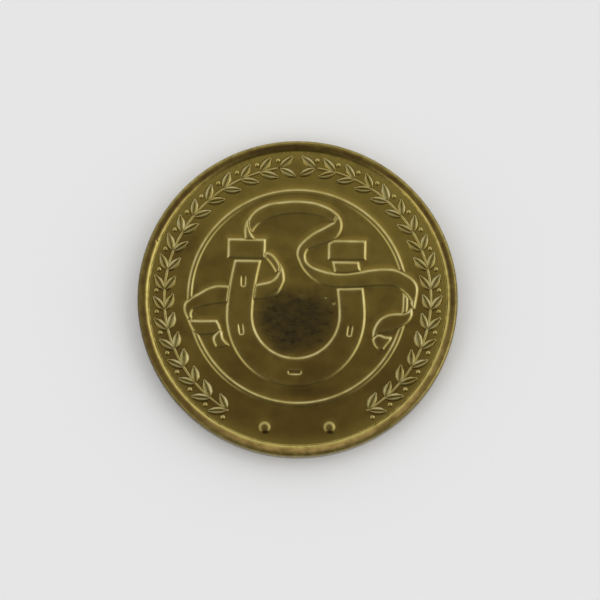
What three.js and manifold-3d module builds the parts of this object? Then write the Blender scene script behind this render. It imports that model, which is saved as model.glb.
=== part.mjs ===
// A coin-type golf ball marker: one round brass token, struck between two dies.
// The obverse has a horseshoe wound with a ribbon inside a plain ring, a laurel border and two pellets.
// Millimetres, +Z up through the obverse. The origin is the centre of the plane of the reverse rim.

import * as THREE from 'three';
import { ConvexGeometry } from 'three/addons/geometries/ConvexGeometry.js';
import { mergeVertices } from 'three/addons/utils/BufferGeometryUtils.js';
import Module from 'manifold-3d';

const wasm = await Module();
wasm.setup();

// Driving dimensions: the blank and its rim
const tokenDiameter = 25.4;
const rimThickness = 1.6;
const rimWidth = 0.88;
const rimSlopeRun = 0.3;
const edgeRoundRun = 0.25;
const edgeRoundRise = 0.35;
const obverseFieldDepth = 0.26;
const reverseFieldDepth = 0.22;

// Driving dimensions: how the relief rises from the field, and how stretches that overlap are parted
const deviceRelief = 0.15;
const ringRelief = 0.12;
const borderRelief = 0.14;
const flankRun = 0.16;
const foldParting = 0.03;
const shoeParting = 0.15;
const reliefRoot = 0.2;

// Driving dimensions: the plain ring, and how far its middle lies inside the border's middle
const ringInset = 2.08;
const ringTopWidth = 0.14;

// Driving dimensions: the horseshoe, drawn about the centre of its bow
const horseshoeHalfWidth = 5.5;
const webWidth = 1.98;
const toeSwell = 0.25;
const limbRise = 4.36;
const limbLean = 0.58;
const heelBlockWidth = 2.88;
const heelBlockHeight = 1.45;
const heelGap = 0.24;
const bowOffset = -0.15;
const bowDrop = 1.38;
const horseshoeTurnDegrees = -1;

// Driving dimensions: the nail slots sunk in the horseshoe's web
const nailSlotLength = 1.0;
const nailSlotWidth = 0.3;
const nailSlotDepth = 0.08;
const nailSlotFlankRun = 0.08;
const upperNailRise = 2.72;
const lowerNailDrop = 1.14;
const lowerNailTiltDegrees = 8;

// Driving dimensions: the ribbon, as its reach from the centre to the outermost fold, and its width
const ribbonReach = 9.4;
const ribbonWidth = 1.0;

// Driving dimensions: the laurel border, from the rim's foot to its middle, and the pellets in its gap
const borderInset = 1.22;
const borderGapDegrees = 62;
const stemTopWidth = 0.08;
const leafLength = 1.58;
const leafWidth = 0.7;
const leafPitch = 1.6;
const leafLeanDegrees = 33;
const berryDiameter = 0.42;
const pelletDiameter = 0.76;
const pelletSpacing = 5.1;

// Driving dimensions: the four-leaf clover on the reverse
const cloverLeafLength = 4.1;
const cloverLeafWidth = 3.9;
const cloverLeafGap = 0.3;
const cloverStemLength = 5.6;
const cloverStemWidth = 0.55;

// How finely the round stretches are cut, and how near two corners are to be one
const latheSegments = 96;
const roundSteps = 3;
const limbSteps = 6;
const bowSteps = 14;
const stepsPerStation = 2;
const pelletSegments = 16;
const berrySegments = 6;
const berryRings = 4;
const sprayStemSteps = 20;
const cloverStemSteps = 6;
const weldGap = 0.0001;

// How fast the limbs lean in with height, and how far the clover's stem bows in shares of its length
const leanPower = 1.7;
const stemBowShare = 0.16;

// The ribbon's runs, as stations along the middle of each band: across, up and width,
// in shares of the ribbon's reach and of its width.
const stubShares = [
  [-0.409, 0.485, 0.7],
  [-0.423, 0.543, 0.5],
  [-0.432, 0.596, 0.34],
  [-0.423, 0.649, 0.32],
  [-0.408, 0.681, 0.34],
];
const archShares = [
  [-0.404, 0.626, 1.15],
  [-0.354, 0.679, 0.96],
  [-0.261, 0.731, 0.98],
  [-0.13, 0.769, 0.91],
  [0, 0.782, 0.89],
  [0.133, 0.771, 0.75],
  [0.239, 0.741, 0.8],
  [0.302, 0.7, 0.79],
];
const serpentShares = [
  [0.337, 0.707, 0.34],
  [0.34, 0.656, 0.5],
  [0.332, 0.596, 0.85],
  [0.287, 0.562, 0.97],
  [0.206, 0.516, 0.9],
  [0.122, 0.477, 0.83],
  [0.064, 0.44, 0.65],
  [0.036, 0.39, 0.57],
  [0.032, 0.33, 0.5],
  [0.062, 0.285, 0.6],
  [0.112, 0.232, 0.72],
  [0.191, 0.179, 0.93],
  [0.319, 0.154, 0.95],
  [0.479, 0.156, 1],
  [0.638, 0.172, 1.15],
  [0.777, 0.174, 1.17],
  [0.888, 0.144, 1.25],
  [0.952, 0.085, 1.05],
  [0.976, 0.021, 0.62],
  [0.977, -0.032, 0.38],
  [0.977, -0.085, 0.34],
];
const rightTailShares = [
  [0.959, -0.105, 0.4],
  [0.931, -0.146, 0.8],
  [0.878, -0.174, 0.86],
  [0.809, -0.202, 0.98],
  [0.734, -0.229, 1.15],
  [0.686, -0.266, 0.85],
  [0.654, -0.319, 0.34],
];
const leftBandShares = [
  [-0.602, 0.023, 1.28],
  [-0.681, 0.023, 1.3],
  [-0.755, 0.016, 1.2],
  [-0.83, -0.013, 1.1],
  [-0.894, -0.059, 0.9],
  [-0.923, -0.106, 0.6],
  [-0.917, -0.16, 0.4],
  [-0.91, -0.191, 0.36],
];
const leftReturnShares = [
  [-0.904, -0.223, 0.9],
  [-0.84, -0.255, 1.1],
  [-0.766, -0.257, 1.1],
  [-0.676, -0.256, 0.98],
];
const leftTailShares = [
  [-0.676, -0.234, 0.5],
  [-0.66, -0.298, 0.45],
  [-0.67, -0.351, 0.7],
  [-0.638, -0.404, 0.95],
];
const loopFrontShares = [
  [-0.261, 0.354, 0.56],
  [-0.228, 0.332, 0.56],
  [-0.2, 0.306, 0.55],
  [-0.181, 0.273, 0.5],
  [-0.181, 0.239, 0.34],
];
const loopBackShares = [
  [-0.149, 0.277, 0.34],
  [-0.145, 0.234, 0.34],
  [-0.149, 0.186, 0.45],
  [-0.165, 0.144, 0.7],
  [-0.191, 0.106, 0.9],
  [-0.239, 0.077, 1],
  [-0.298, 0.066, 1.03],
  [-0.351, 0.059, 1.1],
];

// The curled end of the right tail: corners of its outline, in shares of the ribbon's reach.
const tailCurlShares = [
  [0.64, -0.34],
  [0.671, -0.314],
  [0.717, -0.337],
  [0.773, -0.34],
  [0.762, -0.377],
  [0.731, -0.417],
  [0.711, -0.434],
  [0.684, -0.426],
  [0.654, -0.398],
  [0.64, -0.37],
];

// Half of a clover leaf's outline from its foot to its notch: across in shares of the leaf's width,
// up in shares of its length.
const cloverHalfShares = [
  [0.03, 0],
  [0.2, 0.24],
  [0.38, 0.47],
  [0.49, 0.68],
  [0.48, 0.86],
  [0.36, 0.98],
  [0.2, 1],
  [0.07, 0.93],
  [0, 0.82],
];

// Half of a laurel leaf's outline from its foot to its tip: along in shares of the leaf's length,
// out in shares of its width. The ridge along its middle runs between two such places.
const leafSideShares = [
  [0.3, 0.44],
  [0.62, 0.42],
];
const leafRidgeShares = [0.16, 0.78];

// Where a pair of leaves stands on its stretch of stem, in shares of the pitch
const leafFootShare = 0.08;

// Sizes that follow from the driving dimensions
const tokenRadius = tokenDiameter / 2;
const rimFootRadius = tokenRadius - rimWidth;
const borderRadius = rimFootRadius - borderInset;
const ringRadius = borderRadius - ringInset;
const obverseField = rimThickness - obverseFieldDepth;
const bowRadius = horseshoeHalfWidth - webWidth;
const webMiddleRadius = bowRadius + webWidth / 2;

/** Turns an angle in degrees to radians. */
function radians(degrees) {
  return THREE.MathUtils.degToRad(degrees);
}

/** A point at a radius and an angle about the origin. */
function polar(radius, angle) {
  return new THREE.Vector2(radius * Math.cos(angle), radius * Math.sin(angle));
}

/** Makes a solid for joining and cutting from a closed geometry. */
function solidFrom(geometry) {
  const bare = geometry.clone();
  bare.deleteAttribute('normal');
  bare.deleteAttribute('uv');
  const merged = mergeVertices(bare, weldGap);
  const corners = merged.index.array;
  const triangles = [];
  for (let i = 0; i < corners.length; i += 3) {
    const [a, b, c] = [corners[i], corners[i + 1], corners[i + 2]];
    if (a !== b && b !== c && c !== a) {
      triangles.push(a, b, c);
    }
  }
  const vertProperties = new Float32Array(merged.getAttribute('position').array);
  const triVerts = new Uint32Array(triangles);
  return new wasm.Manifold(new wasm.Mesh({ numProp: 3, vertProperties, triVerts }));
}

/** Makes a geometry for drawing from a solid. */
function geometryFrom(solid) {
  const mesh = solid.getMesh();
  const geometry = new THREE.BufferGeometry();
  geometry.setAttribute('position', new THREE.BufferAttribute(mesh.vertProperties, mesh.numProp));
  geometry.setIndex(new THREE.BufferAttribute(mesh.triVerts, 1));
  geometry.computeVertexNormals();
  return geometry;
}

/** Raises an outline above the plane z = 0. The outline is the middle of the sloping side. */
function raised(outline, height) {
  const geometry = new THREE.ExtrudeGeometry(new THREE.Shape(outline), {
    depth: reliefRoot,
    bevelEnabled: true,
    bevelSegments: 1,
    bevelThickness: height,
    bevelSize: flankRun,
    bevelOffset: -flankRun / 2,
  });
  return geometry.translate(0, 0, -reliefRoot);
}

/** A cutter that widens upwards from a floor, with an outline as the middle of its sloping side. */
function hollow(outline, floor, depth, run, spread) {
  const geometry = new THREE.ExtrudeGeometry(new THREE.Shape(outline), {
    depth,
    bevelEnabled: true,
    bevelSegments: 1,
    bevelThickness: depth,
    bevelSize: run,
    bevelOffset: spread - run / 2,
  });
  return geometry.translate(0, 0, floor + depth);
}

/** Moves a solid made above z = 0 onto the obverse field. */
function ontoObverse(solid) {
  return solid.translate([0, 0, obverseField]);
}

/** Turns a solid made above z = 0 over, onto the reverse field. */
function ontoReverse(solid) {
  const halfTurnDegrees = 180;
  return solid.rotate([halfTurnDegrees, 0, 0]).translate([0, 0, reverseFieldDepth]);
}

/** Points on the quarter ellipse that rounds the token's edge, from the crest down to the side. */
function edgeRound() {
  const points = [];
  for (let i = 0; i <= roundSteps; i += 1) {
    const angle = ((Math.PI / 2) * i) / roundSteps;
    const out = edgeRoundRun * Math.sin(angle);
    const down = edgeRoundRise * (1 - Math.cos(angle));
    points.push(new THREE.Vector2(out, down));
  }
  return points;
}

/** The bare blank: a disc with a raised rim on both faces and a rounded edge. */
function blank() {
  const crestRadius = rimFootRadius + rimSlopeRun;
  const roundStart = tokenRadius - edgeRoundRun;
  const round = edgeRound();
  const profile = [
    new THREE.Vector2(0, reverseFieldDepth),
    new THREE.Vector2(rimFootRadius, reverseFieldDepth),
    new THREE.Vector2(crestRadius, 0),
    ...round.map((p) => new THREE.Vector2(roundStart + p.x, p.y)),
    ...round.map((p) => new THREE.Vector2(roundStart + p.x, rimThickness - p.y)).reverse(),
    new THREE.Vector2(crestRadius, rimThickness),
    new THREE.Vector2(rimFootRadius, obverseField),
    new THREE.Vector2(0, obverseField),
  ];
  return new THREE.LatheGeometry(profile, latheSegments).rotateX(Math.PI / 2);
}

/** The plain raised ring round the device, with its foot on z = 0. */
function plainRing() {
  const halfTop = ringTopWidth / 2;
  const halfFoot = halfTop + flankRun;
  const profile = [
    new THREE.Vector2(ringRadius - halfFoot, -reliefRoot),
    new THREE.Vector2(ringRadius + halfFoot, -reliefRoot),
    new THREE.Vector2(ringRadius + halfFoot, 0),
    new THREE.Vector2(ringRadius + halfTop, ringRelief),
    new THREE.Vector2(ringRadius - halfTop, ringRelief),
    new THREE.Vector2(ringRadius - halfFoot, 0),
    new THREE.Vector2(ringRadius - halfFoot, -reliefRoot),
  ];
  return new THREE.LatheGeometry(profile, latheSegments).rotateX(Math.PI / 2);
}

/** How far a limb's edges lean in towards the other limb at a height above the bow's centre. */
function leanAt(height) {
  return limbLean * (height / limbRise) ** leanPower;
}

/** The right half of one edge of the horseshoe, from the limb's end down to the toe. */
function horseshoeEdge(radius, swell) {
  const points = [];
  for (let i = limbSteps; i > 0; i -= 1) {
    const height = (limbRise * i) / limbSteps;
    points.push(new THREE.Vector2(radius - leanAt(height), height));
  }
  for (let i = 0; i <= bowSteps; i += 1) {
    const angle = ((Math.PI / 2) * i) / bowSteps;
    points.push(polar(radius + swell * Math.sin(angle) ** 2, -angle));
  }
  return points;
}

/** Follows a right half from its start to the axis and its mirror image back up. */
function mirrored(half) {
  const other = half.slice(0, -1).map((p) => new THREE.Vector2(-p.x, p.y));
  return [...half, ...other.reverse()];
}

/** Puts points drawn about the bow's centre in their place on the face. */
function inBow(points) {
  const bow = new THREE.Vector2(bowOffset, -bowDrop);
  const centre = new THREE.Vector2(0, 0);
  return points.map((p) => p.clone().rotateAround(centre, radians(horseshoeTurnDegrees)).add(bow));
}

/** The outline of the horseshoe's flat web, open at the top. */
function horseshoeOutline() {
  const outer = mirrored(horseshoeEdge(horseshoeHalfWidth, toeSwell));
  const inner = mirrored(horseshoeEdge(bowRadius, 0));
  return inBow([...outer, ...inner.reverse()]);
}

/** A rectangle about a place, turned by an angle. */
function rectangle(width, height, at, angle) {
  const [x, y] = [width / 2, height / 2];
  const corners = [[-x, -y], [x, -y], [x, y], [-x, y]];
  const centre = new THREE.Vector2(0, 0);
  return corners.map(([a, b]) => new THREE.Vector2(a, b).rotateAround(centre, angle).add(at));
}

/** The outline of the heel block above the end of one limb. */
function heelBlockOutline(side) {
  const limbMiddle = webMiddleRadius - limbLean;
  const rise = limbRise + heelGap + heelBlockHeight / 2;
  const at = new THREE.Vector2(side * limbMiddle, rise);
  return inBow(rectangle(heelBlockWidth, heelBlockHeight, at, 0));
}

/** Cutters for the nail slots in the web. The ribbon hides the upper one of the right limb. */
function nailSlots() {
  const tilt = radians(lowerNailTiltDegrees);
  const toe = polar(webMiddleRadius + toeSwell / 2, -Math.PI / 2);
  const upper = webMiddleRadius - leanAt(upperNailRise);
  const lower = Math.sqrt(webMiddleRadius ** 2 - lowerNailDrop ** 2);
  const places = [
    { at: toe, turn: Math.PI / 2 },
    { at: new THREE.Vector2(-upper, upperNailRise), turn: 0 },
    { at: new THREE.Vector2(-lower, -lowerNailDrop), turn: tilt },
    { at: new THREE.Vector2(lower, -lowerNailDrop), turn: -tilt },
  ];
  return places.map(({ at, turn }) => {
    const outline = inBow(rectangle(nailSlotWidth, nailSlotLength, at, turn));
    return hollow(outline, deviceRelief - nailSlotDepth, nailSlotDepth, nailSlotFlankRun, 0);
  });
}

/** The outline of a ribbon's band, from stations along its middle. */
function bandOutline(shares) {
  const stations = shares.map(([across, up, width]) => (
    new THREE.Vector3(across * ribbonReach, up * ribbonReach, width * ribbonWidth)
  ));
  const run = new THREE.CatmullRomCurve3(stations, false, 'catmullrom');
  const steps = (stations.length - 1) * stepsPerStation;
  const right = [];
  const left = [];
  for (let i = 0; i <= steps; i += 1) {
    const station = run.getPoint(i / steps);
    const heading = run.getTangent(i / steps);
    const side = new THREE.Vector2(heading.y, -heading.x).setLength(station.z / 2);
    const middle = new THREE.Vector2(station.x, station.y);
    right.push(middle.clone().add(side));
    left.push(middle.clone().sub(side));
  }
  return [...right, ...left.reverse()];
}

/** The outline of the curled end of the right tail. */
function tailCurlOutline() {
  return tailCurlShares.map(([across, up]) => (
    new THREE.Vector2(across * ribbonReach, up * ribbonReach)
  )).reverse();
}

/** The horseshoe and the ribbon wound through it, as outlines from the nearest to the farthest. */
function deviceStretches() {
  return [
    { outline: bandOutline(serpentShares), parting: shoeParting },
    { outline: heelBlockOutline(-1) },
    { outline: heelBlockOutline(1) },
    { outline: horseshoeOutline(), slots: nailSlots() },
    { outline: bandOutline(archShares) },
    { outline: bandOutline(stubShares) },
    { outline: bandOutline(loopFrontShares) },
    { outline: bandOutline(loopBackShares) },
    { outline: bandOutline(leftBandShares) },
    { outline: bandOutline(leftReturnShares) },
    { outline: bandOutline(leftTailShares) },
    { outline: bandOutline(rightTailShares) },
    { outline: tailCurlOutline() },
  ];
}

/** The device and its ring as solids, each cut back from the stretches that lie in front of it. */
function device() {
  const cutters = [];
  const solids = [];
  for (const { outline, parting = foldParting, slots = [] } of deviceStretches()) {
    let solid = solidFrom(raised(outline, deviceRelief));
    for (const cutter of [...cutters, ...slots.map(solidFrom)]) {
      solid = solid.subtract(cutter);
    }
    solids.push(solid);
    cutters.push(solidFrom(hollow(outline, 0, deviceRelief, flankRun, parting)));
  }
  const ring = cutters.reduce((rest, cutter) => rest.subtract(cutter), solidFrom(plainRing()));
  return [...solids, ring];
}

/** A leaf that lies along +X from its foot at the origin, with a sharp ridge along its middle. */
function laurelLeaf() {
  const rim = [[0, 0], ...leafSideShares, [1, 0]];
  const sides = [...rim, ...leafSideShares.map(([along, out]) => [along, -out])];
  const points = [];
  for (const [along, out] of sides) {
    points.push(new THREE.Vector3(along * leafLength, out * leafWidth, 0));
    points.push(new THREE.Vector3(along * leafLength, out * leafWidth, -reliefRoot));
  }
  for (const along of leafRidgeShares) {
    points.push(new THREE.Vector3(along * leafLength, 0, borderRelief));
  }
  return new ConvexGeometry(points);
}

/** A small berry with a domed top, at a place on the face. */
function berry(at) {
  const radius = berryDiameter / 2;
  const dome = new THREE.SphereGeometry(radius, berrySegments, berryRings).rotateX(Math.PI / 2);
  return dome.scale(1, 1, borderRelief / radius).translate(at.x, at.y, 0);
}

/** The outline of a stem that follows the border's middle from one angle to another. */
function sprayStemOutline(start, end, side) {
  const halfWidth = (stemTopWidth + flankRun) / 2;
  const outer = [];
  const inner = [];
  for (let i = 0; i <= sprayStemSteps; i += 1) {
    const angle = start + ((end - start) * i) / sprayStemSteps;
    outer.push(polar(borderRadius + halfWidth, angle));
    inner.push(polar(borderRadius - halfWidth, angle));
  }
  const outline = [...outer, ...inner.reverse()];
  return side > 0 ? outline : outline.map((p) => new THREE.Vector2(-p.x, p.y)).reverse();
}

/** One spray of the border, which climbs from the gap at the foot to the top. */
function laurelSpray(side) {
  const start = -Math.PI / 2 + radians(borderGapDegrees) / 2;
  const sweep = Math.PI / 2 - start;
  const pairs = Math.round((sweep * borderRadius) / leafPitch);
  const step = sweep / pairs;
  const lean = radians(leafLeanDegrees);
  const berryRadius = borderRadius + leafLength * Math.sin(lean) - berryDiameter / 2;
  const pieces = [raised(sprayStemOutline(start, start + step * (pairs - 1), side), borderRelief)];
  for (let i = 0; i < pairs; i += 1) {
    const climb = start + step * (i + leafFootShare);
    const angle = side > 0 ? climb : Math.PI - climb;
    const foot = polar(borderRadius, angle);
    for (const turn of [-lean, lean]) {
      const leaf = laurelLeaf().rotateZ(angle + (side * Math.PI) / 2 + turn);
      pieces.push(leaf.translate(foot.x, foot.y, 0));
    }
    pieces.push(berry(polar(berryRadius, angle)));
  }
  return pieces;
}

/** The two round pellets in the border's gap. */
function pellets() {
  const drop = Math.sqrt(borderRadius ** 2 - (pelletSpacing / 2) ** 2);
  return [-1, 1].map((side) => {
    const outline = [];
    for (let i = 0; i < pelletSegments; i += 1) {
      outline.push(polar(pelletDiameter / 2, (2 * Math.PI * i) / pelletSegments));
    }
    return raised(outline, borderRelief).translate((side * pelletSpacing) / 2, -drop, 0);
  });
}

/** The outline of the clover's stem, which bows sideways as it goes down. */
function cloverStemOutline() {
  const left = [];
  const right = [];
  for (let i = 0; i <= cloverStemSteps; i += 1) {
    const share = i / cloverStemSteps;
    const sideways = stemBowShare * cloverStemLength * share ** 2;
    const down = -share * cloverStemLength;
    left.push(new THREE.Vector2(sideways - cloverStemWidth / 2, down));
    right.push(new THREE.Vector2(sideways + cloverStemWidth / 2, down));
  }
  return [...left, ...right.reverse()];
}

/** The clover on the reverse: four heart-shaped leaves on a bowed stem. */
function clover() {
  const half = cloverHalfShares.map(([across, up]) => (
    new THREE.Vector2(across * cloverLeafWidth, up * cloverLeafLength)
  ));
  const curve = new THREE.SplineCurve(half).getPoints(stepsPerStation * (half.length - 1));
  const outline = mirrored(curve);
  const pieces = [0, 1, 2, 3].map((quarter) => {
    const leaf = raised(outline, deviceRelief).translate(0, cloverLeafGap, 0);
    return leaf.rotateZ(Math.PI / 4 + (quarter * Math.PI) / 2);
  });
  pieces.push(raised(cloverStemOutline(), deviceRelief));
  return pieces;
}

/** The whole token as one solid of metal. */
function struckToken() {
  const border = [...laurelSpray(-1), ...laurelSpray(1), ...pellets()];
  const obverse = [...device(), ...border.map(solidFrom)];
  const reverse = [plainRing(), ...clover()].map(solidFrom);
  let token = solidFrom(blank());
  for (const relief of [...obverse.map(ontoObverse), ...reverse.map(ontoReverse)]) {
    token = token.add(relief);
  }
  return geometryFrom(token);
}

const agedBrass = new THREE.MeshStandardMaterial({
  name: 'aged_brass',
  color: '#8a7836',
  roughness: 0.35,
  metalness: 1,
});

const token = new THREE.Mesh(struckToken(), agedBrass);
token.name = 'struck_token';

const marker = new THREE.Group();
marker.name = 'ball_marker';
marker.add(token);

export default marker;
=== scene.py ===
"""The looks of a struck brass ball marker: a one-piece token with a horseshoe wound with a ribbon.

The token's metal is one closed skin. Each face is a height over the plane: a die's outlines, whose sides
slope into the field, give the height at any place, and the places are spread along those outlines, so that
every slope has its own rows of corners. The laurel border is drawn by Geometry Nodes.

All sizes are in millimetres and are turned to Blender's metres where a mesh or the camera is made.
The frame has +Z up through the obverse, and its origin in the middle of the plane of the reverse rim.
"""

import logging
import math
from collections.abc import Sequence
from dataclasses import dataclass, field
from enum import Enum

import bpy
import numpy as np
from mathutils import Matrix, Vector
from mathutils.geometry import delaunay_2d_cdt


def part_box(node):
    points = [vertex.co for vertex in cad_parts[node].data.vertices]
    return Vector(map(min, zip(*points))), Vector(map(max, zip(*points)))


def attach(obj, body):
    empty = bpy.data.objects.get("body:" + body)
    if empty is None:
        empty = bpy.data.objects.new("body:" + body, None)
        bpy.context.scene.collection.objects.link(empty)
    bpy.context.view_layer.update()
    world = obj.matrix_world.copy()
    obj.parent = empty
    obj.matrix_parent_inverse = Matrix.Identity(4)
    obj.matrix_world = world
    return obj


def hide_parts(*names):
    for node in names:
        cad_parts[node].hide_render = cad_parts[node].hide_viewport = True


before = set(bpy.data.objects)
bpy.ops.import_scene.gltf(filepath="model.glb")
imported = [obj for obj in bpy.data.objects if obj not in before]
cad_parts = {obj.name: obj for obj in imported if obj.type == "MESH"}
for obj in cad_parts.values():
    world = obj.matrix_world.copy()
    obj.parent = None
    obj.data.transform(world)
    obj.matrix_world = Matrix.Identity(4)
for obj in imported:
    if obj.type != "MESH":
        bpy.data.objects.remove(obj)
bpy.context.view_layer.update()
BODY = "root"
TOKEN_NODE = "struck_token"

MM = 0.001
FULL_TURN = 2.0 * math.pi
QUARTER_TURN = math.pi / 2.0
SAME_PLACE = 1e-7
LEAST_AREA = 1e-12
LEAST_SLOPE = 1e-6

MATH, VECTOR_MATH = "ShaderNodeMath", "ShaderNodeVectorMath"
RANGE, CURVE = "ShaderNodeMapRange", "ShaderNodeFloatCurve"
MIX, NOISE, MAPPING = "ShaderNodeMix", "ShaderNodeTexNoise", "ShaderNodeMapping"
COMBINE, SEPARATE = "ShaderNodeCombineXYZ", "ShaderNodeSeparateXYZ"
JOIN, TRANSFORM = "GeometryNodeJoinGeometry", "GeometryNodeTransform"
STORE, INSTANCES = "GeometryNodeStoreNamedAttribute", "GeometryNodeInstanceOnPoints"
SHADE_SMOOTH = "GeometryNodeSetShadeSmooth"

Pair = tuple[float, float]
Row = tuple[float, ...]
Run = tuple[Pair, ...]
Socket = bpy.types.NodeSocket
Sockets = dict[str, Socket]
Tree = bpy.types.NodeTree

log = logging.getLogger("ball_marker")


def linear_from_hex(hex_colour: str) -> Row:
    """Turns an sRGB hex colour to the linear colour that shaders take.

    Args:
        hex_colour: Six hex digits after a hash sign.

    Returns:
        Linear red, green and blue, and an alpha of 1.
    """
    channels = [int(hex_colour[i : i + 2], 16) / 255.0 for i in (1, 3, 5)]
    linear = [c / 12.92 if c <= 0.04045 else ((c + 0.055) / 1.055) ** 2.4 for c in channels]
    return (*linear, 1.0)


def add_node(
    tree: Tree,
    kind: str,
    inputs: dict[str | int, object] | Sequence[object] = (),
    output: str | int = 0,
    **settings: object,
) -> Socket:
    """Adds a node with its settings, constants and links.

    Args:
        tree: The tree that gets the node.
        kind: Blender's identifier for the kind of node.
        inputs: For each input, in order or by name, a constant, a socket or a list of sockets.
        output: Name or place of the output that is wanted.
        **settings: Properties of the node, such as operation.

    Returns:
        The wanted output, or the node itself where it has none.
    """
    node = tree.nodes.new(kind)
    for name, value in settings.items():
        setattr(node, name, value)
    for key, value in inputs.items() if isinstance(inputs, dict) else enumerate(inputs):
        for feed in value if isinstance(value, list) else [value]:
            if isinstance(feed, Socket):
                tree.links.new(feed, node.inputs[key])
            else:
                node.inputs[key].default_value = feed
    return node.outputs[output] if node.outputs else node


def add_steps(tree: Tree, values: Sockets, steps: Sequence[tuple]) -> None:
    """Adds a table of nodes, each of which can read the values that stand before it.

    Args:
        tree: The tree that gets the nodes.
        values: The values so far, by name. Each step adds its own.
        steps: For each node the name of its value, its kind, its operation, and constants or the names
            of values for its inputs.
    """
    for name, kind, operation, *terms in steps:
        inputs = [values[term] if isinstance(term, str) else term for term in terms]
        values[name] = add_node(tree, kind, inputs, operation=operation)


def layered(tree: Tree, colour: str | Socket, layers: Sequence[tuple[Socket, str | Socket]]) -> Socket:
    """Lays colours over each other.

    Args:
        tree: The tree of the material.
        colour: The lowest colour, as a hex colour or a socket.
        layers: For each layer the share with which it covers, and its colour.

    Returns:
        The colour that is seen.
    """
    for share, tint in layers:
        under, over = (linear_from_hex(c) if isinstance(c, str) else c for c in (colour, tint))
        colour = add_node(tree, MIX, {0: share, 6: under, 7: over}, 2, data_type="RGBA")
    return colour


def bent(curve: Socket, points: Run) -> Socket:
    """Gives a curve node its points.

    Args:
        curve: The output of the curve node.
        points: The curve's points from left to right.

    Returns:
        The same output.
    """
    mapping = curve.node.mapping
    line = mapping.curves[0].points
    line[0].location, line[1].location = points[0], points[-1]
    for place in points[1:-1]:
        line.new(*place)
    mapping.update()
    return curve


# Relief: outlines, slopes and the heights that they give


def rising(inward: np.ndarray, run: float) -> np.ndarray:
    """How far a sloping side has risen, from 0 at its foot to 1 at its top.

    Args:
        inward: Distance inside the middle of the slope, in mm.
        run: Width of the slope seen from above, in mm.

    Returns:
        The share of the full height at each place.
    """
    share = np.clip(inward / run + 0.5, 0.0, 1.0)
    return share * share * (3.0 - 2.0 * share)


def inward_distance(places: np.ndarray, outline: np.ndarray, reach: float) -> np.ndarray:
    """Measures how far places lie inside a closed outline.

    Args:
        places: Places on the face, one row each.
        outline: The outline's corners in order.
        reach: Farthest distance outside that is still measured.

    Returns:
        The distance to the outline, negative outside and -reach beyond its neighbourhood.
    """
    inward = np.full(len(places), -reach)
    low, high = outline.min(0) - reach, outline.max(0) + reach
    near = np.flatnonzero(((places > low) & (places < high)).all(1))
    x, y = places[near].T
    nearest = np.full(len(near), np.inf)
    winding = np.zeros(len(near), int)
    for (ax, ay), (bx, by) in zip(outline, np.roll(outline, -1, axis=0)):
        across, up = bx - ax, by - ay
        length_squared = across * across + up * up
        if length_squared == 0.0:
            continue
        along = np.clip(((x - ax) * across + (y - ay) * up) / length_squared, 0.0, 1.0)
        nearest = np.minimum(nearest, np.hypot(x - ax - along * across, y - ay - along * up))
        side = across * (y - ay) - up * (x - ax)
        winding += ((ay <= y) & (by > y) & (side > 0)).astype(int)
        winding -= ((by <= y) & (ay > y) & (side < 0)).astype(int)
    inward[near] = np.where(winding != 0, nearest, -np.minimum(nearest, reach))
    return inward


def smooth_run(stations: np.ndarray, steps: int) -> np.ndarray:
    """Draws a smooth curve through stations of any number of values.

    Args:
        stations: The stations, one row each.
        steps: Steps from one station to the next.

    Returns:
        The curve's points, ends included.
    """
    before = 2.0 * stations[0] - stations[1]
    after = 2.0 * stations[-1] - stations[-2]
    padded = np.vstack([before, stations, after])
    points = []
    for i in range(len(stations) - 1):
        p0, p1, p2, p3 = padded[i : i + 4]
        for t in np.arange(steps) / steps:
            cubic = 2 * p1 + (p2 - p0) * t + (2 * p0 - 5 * p1 + 4 * p2 - p3) * t**2
            points.append(0.5 * (cubic + (3 * p1 - p0 - 3 * p2 + p3) * t**3))
    return np.array([*points, stations[-1]])


def counter_clockwise(outline: np.ndarray) -> np.ndarray:
    """The same outline, turned if need be so that its inside lies on the left."""
    x, y = outline.T
    return outline if np.sum(x * np.roll(y, -1) - np.roll(x, -1) * y) > 0 else outline[::-1]


def joined(runs: tuple[Run, ...], steps: int) -> np.ndarray:
    """Joins smooth runs to a closed outline.

    Args:
        runs: The runs in order. Each ends where the next one starts, in a sharp corner.
        steps: Steps from one point of a run to the next.

    Returns:
        The outline, counter-clockwise.
    """
    return counter_clockwise(np.vstack([smooth_run(np.array(run), steps)[:-1] for run in runs]))


def on_circle(radius: float | np.ndarray, angle: float | np.ndarray) -> np.ndarray:
    """Places at a radius and an angle about the origin, one row each."""
    return np.stack([radius * np.cos(angle), radius * np.sin(angle)], axis=-1)


def turned(points: np.ndarray, angle: float) -> np.ndarray:
    """The points turned about the origin by an angle in radians."""
    cos, sin = math.cos(angle), math.sin(angle)
    return points @ np.array([[cos, sin], [-sin, cos]])


class Side(Enum):
    """The left or the right of the token's upright middle line, or of a spray's stem."""

    LEFT = -1
    RIGHT = 1


@dataclass(frozen=True)
class Stretch:
    """One stretch of relief: a closed outline that is the middle of its sloping side.

    Attributes:
        outline: The outline's corners in mm.
        height: How far its top stands above the field.
        parting: How far it holds stretches that lie behind it away from its own side.
        slots: Outlines of slots sunk in its top.
        run: Width of its sloping side.
    """

    outline: np.ndarray
    height: float
    parting: float
    slots: tuple[np.ndarray, ...] = ()
    run: float = 0.24


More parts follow.
